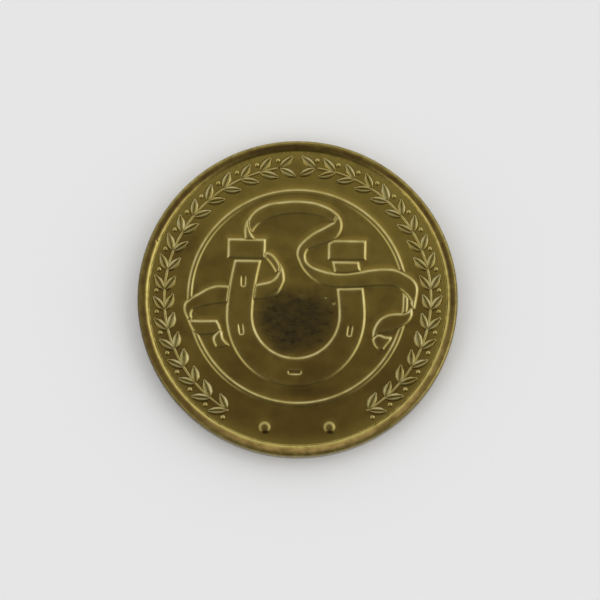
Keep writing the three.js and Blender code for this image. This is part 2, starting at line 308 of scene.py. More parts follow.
@dataclass(frozen=True)
class Horseshoe:
    """The horseshoe, drawn about the centre of its bow."""

    half_width: float = 5.45
    web_width: float = 1.98
    toe_swell: float = 0.25
    limb_rise: float = 4.29
    limb_lean: float = 0.58
    lean_power: float = 1.7
    heel_block_width: float = 2.88
    heel_block_height: float = 1.47
    heel_block_shift: float = 0.11
    heel_gap: float = 0.24
    bow_place: Pair = (-0.15, -1.38)
    turn_degrees: float = -1.0
    slot_length: float = 1.0
    slot_width: float = 0.33
    slot_corners: int = 28
    slot_squareness: float = 0.45
    upper_slot_rise: float = 2.72
    lower_slot_drop: float = 1.14
    lower_slot_tilt_degrees: float = 8.0
    limb_steps: int = 24
    bow_steps: int = 56

    @property
    def bow_radius(self) -> float:
        """Radius of the bow's inner edge."""
        return self.half_width - self.web_width

    @property
    def web_middle(self) -> float:
        """Radius of the middle of the web."""
        return self.bow_radius + self.web_width / 2.0

    def lean_at(self, height: float | np.ndarray) -> float | np.ndarray:
        """How far the limbs lean in at a height above the bow's centre."""
        return self.limb_lean * (height / self.limb_rise) ** self.lean_power

    def in_bow(self, points: np.ndarray) -> np.ndarray:
        """Puts points drawn about the bow's centre in their place on the face."""
        return turned(points, math.radians(self.turn_degrees)) + np.array(self.bow_place)

    def edge(self, radius: float, swell: float) -> np.ndarray:
        """Draws one edge of the web from the right limb's end round the toe to the left limb's end.

        Args:
            radius: The edge's radius round the bow.
            swell: How much the radius grows at the toe.

        Returns:
            The edge's points about the bow's centre.
        """
        heights = self.limb_rise * np.arange(self.limb_steps, 0, -1) / self.limb_steps
        limb = np.stack([radius - self.lean_at(heights), heights], axis=-1)
        angles = QUARTER_TURN * np.arange(self.bow_steps + 1) / self.bow_steps
        bow = on_circle(radius + swell * np.sin(angles) ** 2, -angles)
        right = np.vstack([limb, bow])
        left = right[-2::-1] * np.array([-1.0, 1.0])
        return np.vstack([right, left])

    def web(self) -> np.ndarray:
        """The outline of the flat web, open at the top."""
        outer, inner = self.edge(self.half_width, self.toe_swell), self.edge(self.bow_radius, 0.0)
        return counter_clockwise(self.in_bow(np.vstack([outer, inner[::-1]])))

    def block(self, width: float, height: float, at: Pair, angle: float) -> np.ndarray:
        """Draws a rectangle in its place on the face.

        Args:
            width: Its width before it is turned.
            height: Its height before it is turned.
            at: Its middle about the bow's centre.
            angle: Its turn in radians.

        Returns:
            Its four corners.
        """
        corners = np.array([[-1, -1], [1, -1], [1, 1], [-1, 1]]) * np.array([width, height]) / 2.0
        return self.in_bow(turned(corners, angle) + np.array(at))

    def heel_block(self, side: Side) -> np.ndarray:
        """Draws the block above the end of one limb.

        Args:
            side: The side of the limb.

        Returns:
            The block's four corners.
        """
        rise = self.limb_rise + self.heel_gap + self.heel_block_height / 2.0
        at = (side.value * (self.web_middle - self.limb_lean + self.heel_block_shift), rise)
        return self.block(self.heel_block_width, self.heel_block_height, at, 0.0)

    def nail_slots(self) -> tuple[np.ndarray, ...]:
        """Draws the nail slots. The ribbon hides the upper one of the right limb.

        Returns:
            The outlines of the slots that are seen.
        """
        tilt = math.radians(self.lower_slot_tilt_degrees)
        lower = math.sqrt(self.web_middle**2 - self.lower_slot_drop**2)
        upper = self.web_middle - self.lean_at(self.upper_slot_rise)
        places = [
            ((0.0, -self.web_middle - self.toe_swell / 2.0), QUARTER_TURN),
            ((-upper, self.upper_slot_rise), 0.0),
            ((-lower, -self.lower_slot_drop), tilt),
            ((lower, -self.lower_slot_drop), -tilt),
        ]
        return tuple(self.nail_slot(at, turn) for at, turn in places)

    def nail_slot(self, at: Pair, angle: float) -> np.ndarray:
        """Draws a nail slot with rounded ends.

        Args:
            at: Its middle about the bow's centre.
            angle: Its turn in radians.

        Returns:
            Its outline.
        """
        round_way = on_circle(1.0, FULL_TURN * np.arange(self.slot_corners) / self.slot_corners)
        oval = np.sign(round_way) * np.abs(round_way) ** self.slot_squareness
        oval *= np.array([self.slot_width, self.slot_length]) / 2.0
        return self.in_bow(turned(oval, angle) + np.array(at))


@dataclass(frozen=True)
class Ribbon:
    """The ribbon wound through the horseshoe, as the outlines of what is seen of it, in mm on the face.

    The opening is bare field inside the left fold, where the plain ring doesn't show.
    """

    steps: int = 5
    arch: tuple[Run, ...] = (
        (
            (-3.90, 6.23), (-3.65, 6.63), (-3.15, 7.11), (-2.26, 7.53), (-1.27, 7.68), (-0.18, 7.76),
            (1.01, 7.68), (1.80, 7.48), (2.59, 7.13), (3.19, 6.68),
        ),
        ((3.19, 6.68), (2.89, 6.13)),
        (
            (2.89, 6.13), (2.39, 6.35), (2.00, 6.51), (1.20, 6.71), (0.21, 6.81), (-0.78, 6.77),
            (-1.77, 6.56), (-2.76, 6.18), (-3.25, 5.83), (-3.63, 5.30),
        ),
        ((-3.63, 5.30), (-3.87, 5.72), (-3.90, 6.23)),
    )
    stub: tuple[Run, ...] = (
        ((-3.94, 6.20), (-4.04, 6.01), (-4.17, 5.52), (-4.14, 4.72), (-4.12, 4.38)),
        ((-4.12, 4.38), (-3.34, 4.38)),
        ((-3.34, 4.38), (-3.46, 4.72), (-3.70, 5.12), (-3.84, 5.52), (-3.91, 5.95), (-3.94, 6.20)),
    )
    serpent: tuple[Run, ...] = (
        (
            (3.19, 6.68), (3.43, 6.23), (3.49, 5.72), (3.34, 5.23), (2.99, 4.82), (2.35, 4.48),
            (1.56, 4.21), (0.83, 3.93),
        ),
        (
            (0.83, 3.93), (0.66, 3.71), (0.57, 3.31), (0.71, 2.82), (1.20, 2.41), (2.00, 2.11),
            (2.79, 1.93), (3.86, 1.88), (4.88, 2.02), (6.01, 2.21), (7.04, 2.27), (7.66, 2.22),
            (8.18, 2.04), (8.49, 1.86), (8.95, 1.58), (9.26, 1.27), (9.44, 0.92), (9.47, 0.50),
            (9.37, -0.17), (9.23, -0.86),
        ),
        (
            (9.23, -0.86), (9.14, -0.72), (9.03, -0.49), (9.03, -0.26), (8.88, -0.00), (8.65, 0.29),
            (8.38, 0.54), (8.08, 0.78), (7.66, 0.94), (7.25, 0.98), (6.63, 1.00), (5.91, 0.97),
            (4.97, 0.89), (3.86, 0.85), (3.04, 0.86), (2.43, 0.95), (1.91, 1.09), (1.39, 1.40),
            (0.86, 1.84), (0.43, 2.37), (0.17, 2.90), (-0.01, 3.43), (0.04, 3.88), (0.26, 4.27),
            (0.71, 4.72), (1.40, 5.23), (2.19, 5.64), (2.89, 6.05),
        ),
        ((2.89, 6.05), (3.19, 6.68)),
    )
    left_band: tuple[Run, ...] = (
        (
            (-5.17, 0.88), (-6.06, 0.92), (-6.49, 0.90), (-7.13, 0.70), (-7.77, 0.33), (-8.38, 0.00),
            (-8.59, -0.17), (-8.82, -0.36), (-8.94, -0.60), (-8.96, -0.89), (-8.91, -1.16), (-8.80, -1.43),
            (-8.65, -1.72),
        ),
        ((-8.65, -1.72), (-8.42, -1.61)),
        (
            (-8.42, -1.61), (-8.45, -1.31), (-8.40, -1.09), (-8.23, -0.90), (-7.65, -0.70), (-7.04, -0.55),
            (-6.15, -0.41), (-5.17, -0.35),
        ),
        ((-5.17, -0.35), (-5.17, 0.88)),
    )
    left_return: tuple[Run, ...] = (
        ((-8.63, -1.83), (-8.42, -1.84), (-7.71, -1.87), (-6.42, -1.86)),
        ((-6.42, -1.86), (-6.23, -2.21), (-6.12, -2.56)),
        ((-6.12, -2.56), (-6.60, -2.82), (-7.35, -2.94), (-7.75, -2.90), (-8.19, -2.72)),
        ((-8.19, -2.72), (-8.42, -2.32), (-8.63, -1.83)),
    )
    left_tail: tuple[Run, ...] = (
        ((-6.17, -2.57), (-6.03, -2.77), (-5.98, -3.12), (-5.87, -3.39), (-5.49, -3.80)),
        ((-5.49, -3.80), (-5.97, -3.96), (-6.42, -3.89)),
        ((-6.42, -3.89), (-6.57, -3.61), (-6.64, -3.33), (-6.57, -3.06), (-6.17, -2.57)),
    )
    right_tail: tuple[Run, ...] = (
        (
            (9.01, -0.94), (8.80, -1.14), (8.38, -1.30), (7.66, -1.34), (7.15, -1.43), (6.63, -1.70),
            (6.30, -2.08), (6.07, -2.53), (5.99, -2.85), (6.00, -3.11),
        ),
        (
            (6.00, -3.11), (6.16, -3.02), (6.47, -2.84), (7.15, -2.77), (7.66, -2.57), (8.18, -2.32),
            (8.54, -2.08), (8.85, -1.77), (9.03, -1.37), (9.01, -0.94),
        ),
    )
    tail_curl: tuple[Run, ...] = (
        ((5.97, -3.43), (6.03, -3.22), (6.28, -3.00)),
        ((6.28, -3.00), (6.53, -3.02), (6.89, -3.18), (7.38, -3.23)),
        ((7.38, -3.23), (7.27, -3.47), (7.03, -3.76), (6.76, -4.13)),
        ((6.76, -4.13), (6.55, -4.18), (6.33, -4.07)),
        ((6.33, -4.07), (6.09, -3.78), (5.97, -3.43)),
    )
    loop_front: tuple[Run, ...] = (
        ((-2.80, 3.63), (-2.26, 3.56), (-1.93, 3.33), (-1.58, 2.86), (-1.42, 2.46), (-1.49, 2.06)),
        ((-1.49, 2.06), (-1.70, 2.08)),
        ((-1.70, 2.08), (-2.01, 2.62), (-2.40, 3.11), (-2.80, 3.38)),
        ((-2.80, 3.38), (-2.80, 3.63)),
    )
    loop_back: tuple[Run, ...] = (
        (
            (-1.42, 2.67), (-1.18, 2.20), (-1.09, 1.49), (-1.23, 1.05), (-1.53, 0.47), (-1.93, 0.19),
            (-2.54, -0.03), (-3.59, -0.12),
        ),
        ((-3.59, -0.12), (-3.59, 0.98)),
        (
            (-3.59, 0.98), (-2.80, 1.11), (-2.05, 1.31), (-1.65, 1.67), (-1.49, 2.06), (-1.42, 2.46),
            (-1.42, 2.67),
        ),
    )
    opening: tuple[Run, ...] = (
        ((-8.40, -1.61), (-8.44, -1.31), (-8.38, -1.10), (-8.23, -0.92)),
        ((-8.23, -0.92), (-7.99, -0.92), (-7.99, -1.84)),
        ((-7.99, -1.84), (-8.40, -1.82), (-8.40, -1.61)),
    )

    def drawn(self, runs: tuple[Run, ...]) -> np.ndarray:
        """The outline of one piece of the ribbon."""
        return joined(runs, self.steps)


@dataclass(frozen=True)
class Clover:
    """The four-leaf clover on the reverse."""

    leaf_length: float = 4.1
    leaf_width: float = 3.9
    leaf_gap: float = 0.3
    stem_length: float = 5.6
    stem_width: float = 0.55
    stem_bow_share: float = 0.16
    curve_steps: int = 8
    stem_steps: int = 40
    half_shares: Run = (
        (0.03, 0.0), (0.2, 0.24), (0.38, 0.47), (0.49, 0.68), (0.48, 0.86), (0.36, 0.98), (0.2, 1.0),
        (0.07, 0.93), (0.0, 0.82),
    )

    def leaves(self) -> list[np.ndarray]:
        """Draws the four heart-shaped leaves.

        Returns:
            The outline of each leaf.
        """
        shares = np.array(self.half_shares) * np.array([self.leaf_width, self.leaf_length])
        half = smooth_run(shares, self.curve_steps)
        other = half[-2::-1] * np.array([-1.0, 1.0])
        leaf = np.vstack([half, other]) + np.array([0.0, self.leaf_gap])
        turns = math.pi / 4.0 + QUARTER_TURN * np.arange(4)
        return [counter_clockwise(turned(leaf, turn)) for turn in turns]

    def stem(self) -> np.ndarray:
        """Draws the stem, which bows sideways as it goes down.

        Returns:
            The stem's outline.
        """
        share = np.linspace(0.0, 1.0, self.stem_steps + 1)
        sideways = self.stem_bow_share * self.stem_length * share**2
        down = -share * self.stem_length
        left, right = (
            np.stack([sideways + side.value * self.stem_width / 2.0, down], axis=-1) for side in Side
        )
        return counter_clockwise(np.vstack([left, right[::-1]]))


@dataclass(frozen=True)
class Nick:
    """A small dent worn into the metal, as its place on the face, its radius and its depth."""

    place: Pair
    radius: float
    depth: float


@dataclass(frozen=True)
class Blank:
    """The round blank that both faces share: its rim, its rounded edge and how finely it is cut."""

    radius: float
    thickness: float
    rim_width: float = 0.91
    rim_offset: Pair = (0.02, 0.06)
    rim_roundness: float = 6.0
    rim_tilt_share: float = 0.3
    rim_fillet_share: float = 0.075
    edge_round_run: float = 0.25
    edge_round_rise: float = 0.35
    around: int = 640
    edge_rows: int = 5
    slope_row_shares: Row = (
        -0.05, 0.0, 0.03, 0.06, 0.1, 0.15, 0.21, 0.28, 0.35, 0.43, 0.52, 0.63, 0.75, 0.87, 1.0,
    )
    rounding_rows: int = 8
    side_clearance: float = 1e-4

    @property
    def foot_radius(self) -> float:
        """Radius of the foot of the rim's inner slope."""
        return self.radius - self.rim_width

    @property
    def round_radius(self) -> float:
        """Radius at which the rim's crest begins to round off into the edge."""
        return self.radius - self.edge_round_run

    def foot_at(self, angle: np.ndarray) -> np.ndarray:
        """Radius of the slope's foot round the token, which was struck a little off its middle."""
        return self.foot_radius + self.rim_offset[0] * np.cos(angle) + self.rim_offset[1] * np.sin(angle)

    def rim_height(self, places: np.ndarray, field_depth: float) -> np.ndarray:
        """Gives the rim's height over the field.

        Args:
            places: Places on the face, one row each.
            field_depth: How deep the field lies below the rim's crest.

        Returns:
            The height over the field at each place.
        """
        distance = np.hypot(*places.T)
        foot = self.foot_at(np.arctan2(places[:, 1], places[:, 0]))
        share = np.clip((distance - foot) / (self.round_radius - foot), 0.0, 1.0)
        fillet = self.rim_fillet_share
        eased = (np.hypot(share, fillet) - fillet) / (math.hypot(1.0, fillet) - fillet)
        risen = 1.0 - (1.0 - eased) ** self.rim_roundness
        slope = field_depth * (risen + self.rim_tilt_share * (eased - risen))
        out = np.clip((distance - self.round_radius) / self.edge_round_run, 0.0, 1.0)
        drop = self.edge_round_rise * (1.0 - np.sqrt(np.clip(1.0 - out * out, 0.0, 1.0)))
        return slope - drop

    def rim_rows(self) -> list[np.ndarray]:
        """Spreads the rim's rows of corners, from the token's side inwards.

        Returns:
            The places of each row.
        """
        turns = QUARTER_TURN * np.arange(self.rounding_rows, 0, -1) / self.rounding_rows
        rounding = [self.round_radius + self.edge_round_run * math.sin(turn) for turn in turns]
        angles = FULL_TURN * np.arange(self.around) / self.around
        foot = self.foot_at(angles)
        slope = [foot + share * (self.round_radius - foot) for share in self.slope_row_shares[::-1]]
        return [on_circle(radius, angles) for radius in [*rounding, *slope]]

    def circle(self, radius: float, count: int) -> np.ndarray:
        """Evenly spread places on a circle about the token's middle."""
        return on_circle(radius, FULL_TURN * np.arange(count) / count)


@dataclass(frozen=True)
class Die:
    """How a die shapes the metal: the slopes of its relief and how finely they are followed."""

    device_relief: float = 0.15
    ring_relief: float = 0.12
    ring_flank_run: float = 0.2
    fillet_share: float = 0.43
    fillet_run: float = 0.72
    fillet_shift: float = 0.2
    fold_parting: float = 0.03
    shoe_parting: float = 0.15
    slot_depth: float = 0.075
    slot_run: float = 0.14
    slot_ease_share: float = 0.35
    ring_top_width: float = 0.12
    corner_spacing: float = 0.1
    fill_spacing: float = 0.25
    merge_gap: float = 0.028
    fan_step_degrees: float = 24.0
    row_offsets: Row = (
        -0.46, -0.36, -0.27, -0.2, -0.14, -0.1, -0.06, -0.02, 0.02, 0.06, 0.1, 0.14, 0.24,
    )
    ring_row_offsets: Row = (0.03, 0.06, 0.09, 0.12, 0.15, 0.18, 0.22, 0.3, 0.4, 0.5, 0.6)
    nick_row_shares: Row = (0.0, 0.35, 0.7, 1.1)
    nick_corners: int = 8
    nick_sharpness: float = 2.5

    @property
    def reach(self) -> float:
        """How far outside an outline the metal still rises towards it."""
        return self.shoe_parting + self.fillet_shift + self.fillet_run / 2.0

    def risen(self, inward: np.ndarray, run: float) -> np.ndarray:
        """The rise of a flank: a sharp slope with a wide fillet at its foot, as worn dies leave it."""
        fillet = rising(inward + self.fillet_shift, self.fillet_run)
        return (1.0 - self.fillet_share) * rising(inward, run) + self.fillet_share * fillet


@dataclass
class Face:
    """One face of the token, as the stretches of relief that stand on its field."""

    blank: Blank
    die: Die
    field_depth: float
    ring_radius: float
    stretches: list[Stretch]
    nicks: tuple[Nick, ...] = ()
    waviness: float = 0.003
    wave_length: float = 7.0
    wave_length_spread: Pair = (0.6, 1.5)
    wave_count: int = 6
    seed: int = 5

    def ring_inward(self, places: np.ndarray) -> np.ndarray:
        """How far places lie inside the middle of the plain ring's sides."""
        half_width = (self.die.ring_top_width + self.die.ring_flank_run) / 2.0
        return half_width - np.abs(np.hypot(*places.T) - self.ring_radius)

    def relief(self, places: np.ndarray) -> np.ndarray:
        """Works out the height of the device and its ring over the field.

        Args:
            places: Places on the face, one row each.

        Returns:
            The height at each place.
        """
        die, reach = self.die, self.die.reach
        behind = np.full(len(places), np.inf)
        height = np.zeros(len(places))
        for stretch in self.stretches:
            inward = inward_distance(places, stretch.outline, reach)
            own = stretch.height * die.risen(np.minimum(inward, behind), stretch.run)
            for slot in stretch.slots:
                sunk = rising(inward_distance(places, slot, reach), die.slot_run)
                own -= self.slot_depth(places, slot) * sunk
            height = np.maximum(height, own)
            behind = np.minimum(behind, -inward - stretch.parting)
        ring = np.minimum(self.ring_inward(places), behind)
        return np.maximum(height, die.ring_relief * die.risen(ring, die.ring_flank_run))

    def slot_depth(self, places: np.ndarray, slot: np.ndarray) -> np.ndarray:
        """Works out how deep a slot is: it runs out towards its upper end.

        Args:
            places: Places on the face, one row each.
            slot: The slot's outline.

        Returns:
            The slot's depth at each place.
        """
        low, high = slot[:, 1].min(), slot[:, 1].max()
        eased = (high - places[:, 1]) / (self.die.slot_ease_share * (high - low))
        return self.die.slot_depth * np.clip(eased, 0.0, 1.0)

    def waves(self, places: np.ndarray) -> np.ndarray:
        """Gives the field a slight unevenness, as a few long waves in seeded directions.

        Args:
            places: Places on the face, one row each.

        Returns:
            The waves' height at each place.
        """
        rng = np.random.default_rng(self.seed)
        height = np.zeros(len(places))
        for _ in range(self.wave_count):
            length = self.wave_length * rng.uniform(*self.wave_length_spread)
            heading = on_circle(FULL_TURN / length, rng.uniform(0, FULL_TURN))
            height += self.waviness * np.sin(places @ heading + rng.uniform(0, FULL_TURN))
        return height

    def heights(self, places: np.ndarray) -> np.ndarray:
        """Works out the height of the face over its bare field.

        Args:
            places: Places on the face, one row each.

        Returns:
            The height at each place.
        """
        height = self.relief(places) + self.blank.rim_height(places, self.field_depth)
        calm = np.clip(self.blank.foot_radius - np.hypot(*places.T), 0.0, 1.0)
        height += calm * self.waves(places)
        for nick in self.nicks:
            away = np.hypot(*(places - np.array(nick.place)).T) / nick.radius
            height -= nick.depth * np.exp(-self.die.nick_sharpness * away**2)
        return height

    def outline_rows(self, outline: np.ndarray) -> np.ndarray:
        """Spreads rows of places along both sides of an outline, with fans at its sharp corners.

        Args:
            outline: A counter-clockwise outline.

        Returns:
            The places of all rows.
        """
        offsets = np.array(self.die.row_offsets)
        span = np.roll(outline, -1, axis=0) - outline
        length = np.linalg.norm(span, axis=1)
        inwards = np.stack([-span[:, 1], span[:, 0]], axis=-1) / length[:, None]
        rows = []
        for i, start in enumerate(outline):
            count = max(1, round(length[i] / self.die.corner_spacing))
            along = (np.arange(count) + 0.5) / count
            middle = start + span[i] * along[:, None]
            rows.append((middle[:, None] + inwards[i] * offsets[:, None]).reshape(-1, 2))
            first, last = np.arctan2(*inwards[i - 1][::-1]), np.arctan2(*inwards[i][::-1])
            bend = (last - first + math.pi) % FULL_TURN - math.pi
            fans = int(abs(bend) // math.radians(self.die.fan_step_degrees))
            for turn in first + bend * np.arange(1, fans + 1) / (fans + 1):
                rows.append(start + on_circle(offsets[:, None], turn).reshape(-1, 2))
        return np.vstack(rows)

    def places(self) -> np.ndarray:
        """Spreads the places where the face gets a corner.

        Returns:
            The places, with the token's outer circle first.
        """
        blank, die = self.blank, self.die
        rows = blank.rim_rows()
        for offset in die.ring_row_offsets:
            rows += [blank.circle(self.ring_radius + way * offset, blank.around) for way in (-1, 1)]
        for nick in self.nicks:
            for share in die.nick_row_shares:
                circle = blank.circle(share * nick.radius, die.nick_corners if share else 1)
                rows.append(np.array(nick.place) + circle)
        for stretch in self.stretches:
            rows.append(self.outline_rows(stretch.outline))
            rows.extend(self.outline_rows(slot) for slot in stretch.slots)
        rows.append(self.fill())
        every = np.vstack(rows)
        inside = np.hypot(*every.T) < blank.radius - blank.side_clearance
        inside[: blank.around] = True
        return self.thinned(every[inside])

    def fill(self) -> np.ndarray:
        """Spreads places evenly over the rest of the face.

        Returns:
            The places.
        """
        step, rise = self.die.fill_spacing, self.die.fill_spacing * math.sqrt(3.0) / 2.0
        count = int(self.blank.foot_radius / rise)
        rows = []
        for i in range(-count, count + 1):
            across = np.arange(-count, count + 1) * step + (i % 2) * step / 2.0
            rows.append(np.stack([across, np.full(len(across), i * rise)], axis=-1))
        spread = np.vstack(rows)
        return spread[np.hypot(*spread.T) < self.blank.foot_radius - step / 2.0]

    def thinned(self, places: np.ndarray) -> np.ndarray:
        """Leaves out places that share a small cell with an earlier one.

        Args:
            places: The places, with the token's outer circle first.

        Returns:
            The places that stay, in the same order.
        """
        cells = np.round(places / self.die.merge_gap).astype(int)
        _, first = np.unique(cells, axis=0, return_index=True)
        keep = np.union1d(first, np.arange(self.blank.around))
        return places[np.sort(keep)]


def triangles_over(places: np.ndarray) -> np.ndarray:
    """Joins places to triangles that cover them.

    Args:
        places: The places, one row each.

    Returns:
        The triangles' corners, counter-clockwise.
    """
    result = delaunay_2d_cdt([Vector(p) for p in places.tolist()], [], [], 0, SAME_PLACE, False)
    if len(result[0]) != len(places):
        raise ValueError(f"{len(places) - len(result[0])} corners of a face coincide")
    corners = np.array(result[2])
    a, b, c = (places[corners[:, k]] for k in range(3))
    area = (b[:, 0] - a[:, 0]) * (c[:, 1] - a[:, 1]) - (c[:, 0] - a[:, 0]) * (b[:, 1] - a[:, 1])
    corners[area < 0] = corners[area < 0][:, ::-1]
    return corners[np.abs(area) > LEAST_AREA]


@dataclass(frozen=True)
class WearAndPaintedLight:
    """Where the metal is paler from rubbing and painted highlight, and where it is darker.

    Slopes are paler, partly from rubbing and partly from painted highlight, and convex edges are worn
    paler; slopes that face the token's foot get painted shade instead. The hollows at the feet of the
    relief are darker, the rim's slope at the token's head gets painted shade, and the rounding of the rim
    is tarnished more on one side of the token than on the other.
    """

    slope_start: float = 0.2
    slope_run: float = 0.3
    slope_rub_and_highlight: float = 0.85
    # Painted shade: how much of their rub and highlight the slopes that face the token's foot lose.
    south_slope_shade: float = 0.85
    south_shade_radius: float = 12.3
    bend_rub: float = 0.25
    most_bend_rub: float = 0.7
    hollow_darkening: float = 0.1
    hollow_darkening_start: float = 0.1
    most_hollow_darkening: float = 0.4
    smoothing_rounds: int = 3
    # Painted shade on the rim's slope at the token's head, which faces the token's foot.
    head_shade: float = 0.4
    head_shade_start: float = 11.8
    head_shade_gain: float = 4.0
    tarnish_start: float = 12.42
    tarnish_run: float = 0.1
    tarnish_by_degrees: Run = (
        (0.0, 0.4), (45.0, 0.25), (90.0, 0.25), (135.0, 0.2), (155.0, 0.4), (180.0, 0.6), (205.0, 0.6),
        (225.0, 0.5), (270.0, 0.25), (300.0, 0.35), (315.0, 0.4), (335.0, 0.25), (360.0, 0.4),
    )

    def mark(self, mesh: bpy.types.Mesh, corners: np.ndarray, triangles: np.ndarray) -> None:
        """Stores each corner's rub and painted highlight and its darkening and painted shade, for the
        material.

        Args:
            mesh: The token's mesh.
            corners: Its corners in mm.
            triangles: Its triangles.
        """
        normals = np.empty(len(corners) * 3, np.float32)
        mesh.vertex_normals.foreach_get("vector", normals)
        normals = normals.reshape(-1, 3)
        bend = self.bend(corners, normals, triangles)
        slope = np.sqrt(np.clip(1.0 - normals[:, 2] ** 2, 0.0, 1.0))
        radius = np.hypot(corners[:, 0], corners[:, 1])
        # Painted shade: slopes that face the token's foot, to the south, lose their rub and highlight.
        southing = -normals[:, 1] / np.maximum(slope, LEAST_SLOPE)
        south_shade = self.south_slope_shade * np.clip(southing, 0.0, 1.0)
        south_shade *= radius < self.south_shade_radius
        # Slopes are paler, partly from rubbing and partly from painted highlight.
        rubbed = self.slope_rub_and_highlight * np.clip((slope - self.slope_start) / self.slope_run, 0.0, 1.0)
        rubbed += np.clip(bend * self.bend_rub, 0.0, self.most_bend_rub)
        rubbed *= 1.0 - south_shade
        # Darker in the hollows at the feet of the relief.
        grime = np.clip(-bend * self.hollow_darkening - self.hollow_darkening_start, 0.0, self.most_hollow_darkening)
        # Painted shade on the rim's slope at the token's head, which faces the token's foot.
        gain = self.head_shade_gain
        south_shaded = np.clip(gain * south_shade / self.south_slope_shade - (gain - 1.0), 0.0, 1.0)
        on_rim = (corners[:, 2] > 0.0) & (radius > self.head_shade_start)
        grime = np.maximum(grime, self.head_shade * south_shaded * on_rim)
        tarnish = self.tarnish(corners)
        rubbed = np.clip(rubbed, 0.0, 1.0) * (1.0 - tarnish)
        for name, values in (("rubbed", rubbed), ("grime", np.maximum(grime, tarnish))):
            marks = mesh.attributes.new(name, "FLOAT", "POINT")
            marks.data.foreach_set("value", values.astype(np.float32))

    def tarnish(self, corners: np.ndarray) -> np.ndarray:
        """Works out how tarnished the rounding of the rim is.

        Args:
            corners: The mesh's corners in mm.

        Returns:
            The share of tarnish at each corner.
        """
        degrees = np.degrees(np.arctan2(corners[:, 1], corners[:, 0])) % 360.0
        around = np.interp(degrees, *zip(*self.tarnish_by_degrees))
        out = (np.hypot(corners[:, 0], corners[:, 1]) - self.tarnish_start) / self.tarnish_run
        return around * np.clip(out, 0.0, 1.0)

    def bend(self, corners: np.ndarray, normals: np.ndarray, triangles: np.ndarray) -> np.ndarray:
        """Measures how the skin bends, positive over edges and negative in hollows.

        Args:
            corners: The mesh's corners in mm.
            normals: Their normals.
            triangles: The mesh's triangles.

        Returns:
            The smoothed curvature at each corner, per mm.
        """
        pairs = np.vstack([triangles[:, [0, 1]], triangles[:, [1, 2]], triangles[:, [2, 0]]])
        pairs = np.unique(np.sort(pairs, axis=1), axis=0)
        start, end = np.vstack([pairs, pairs[:, ::-1]]).T
        count = np.bincount(start, minlength=len(corners))
        span = corners[end] - corners[start]
        rise = np.einsum("ij,ij->i", span, normals[start])
        bend = np.bincount(start, -2.0 * rise / np.einsum("ij,ij->i", span, span), len(corners)) / count
        for _ in range(self.smoothing_rounds):
            bend = 0.5 * bend + 0.5 * np.bincount(start, bend[end], len(corners)) / count
        return bend


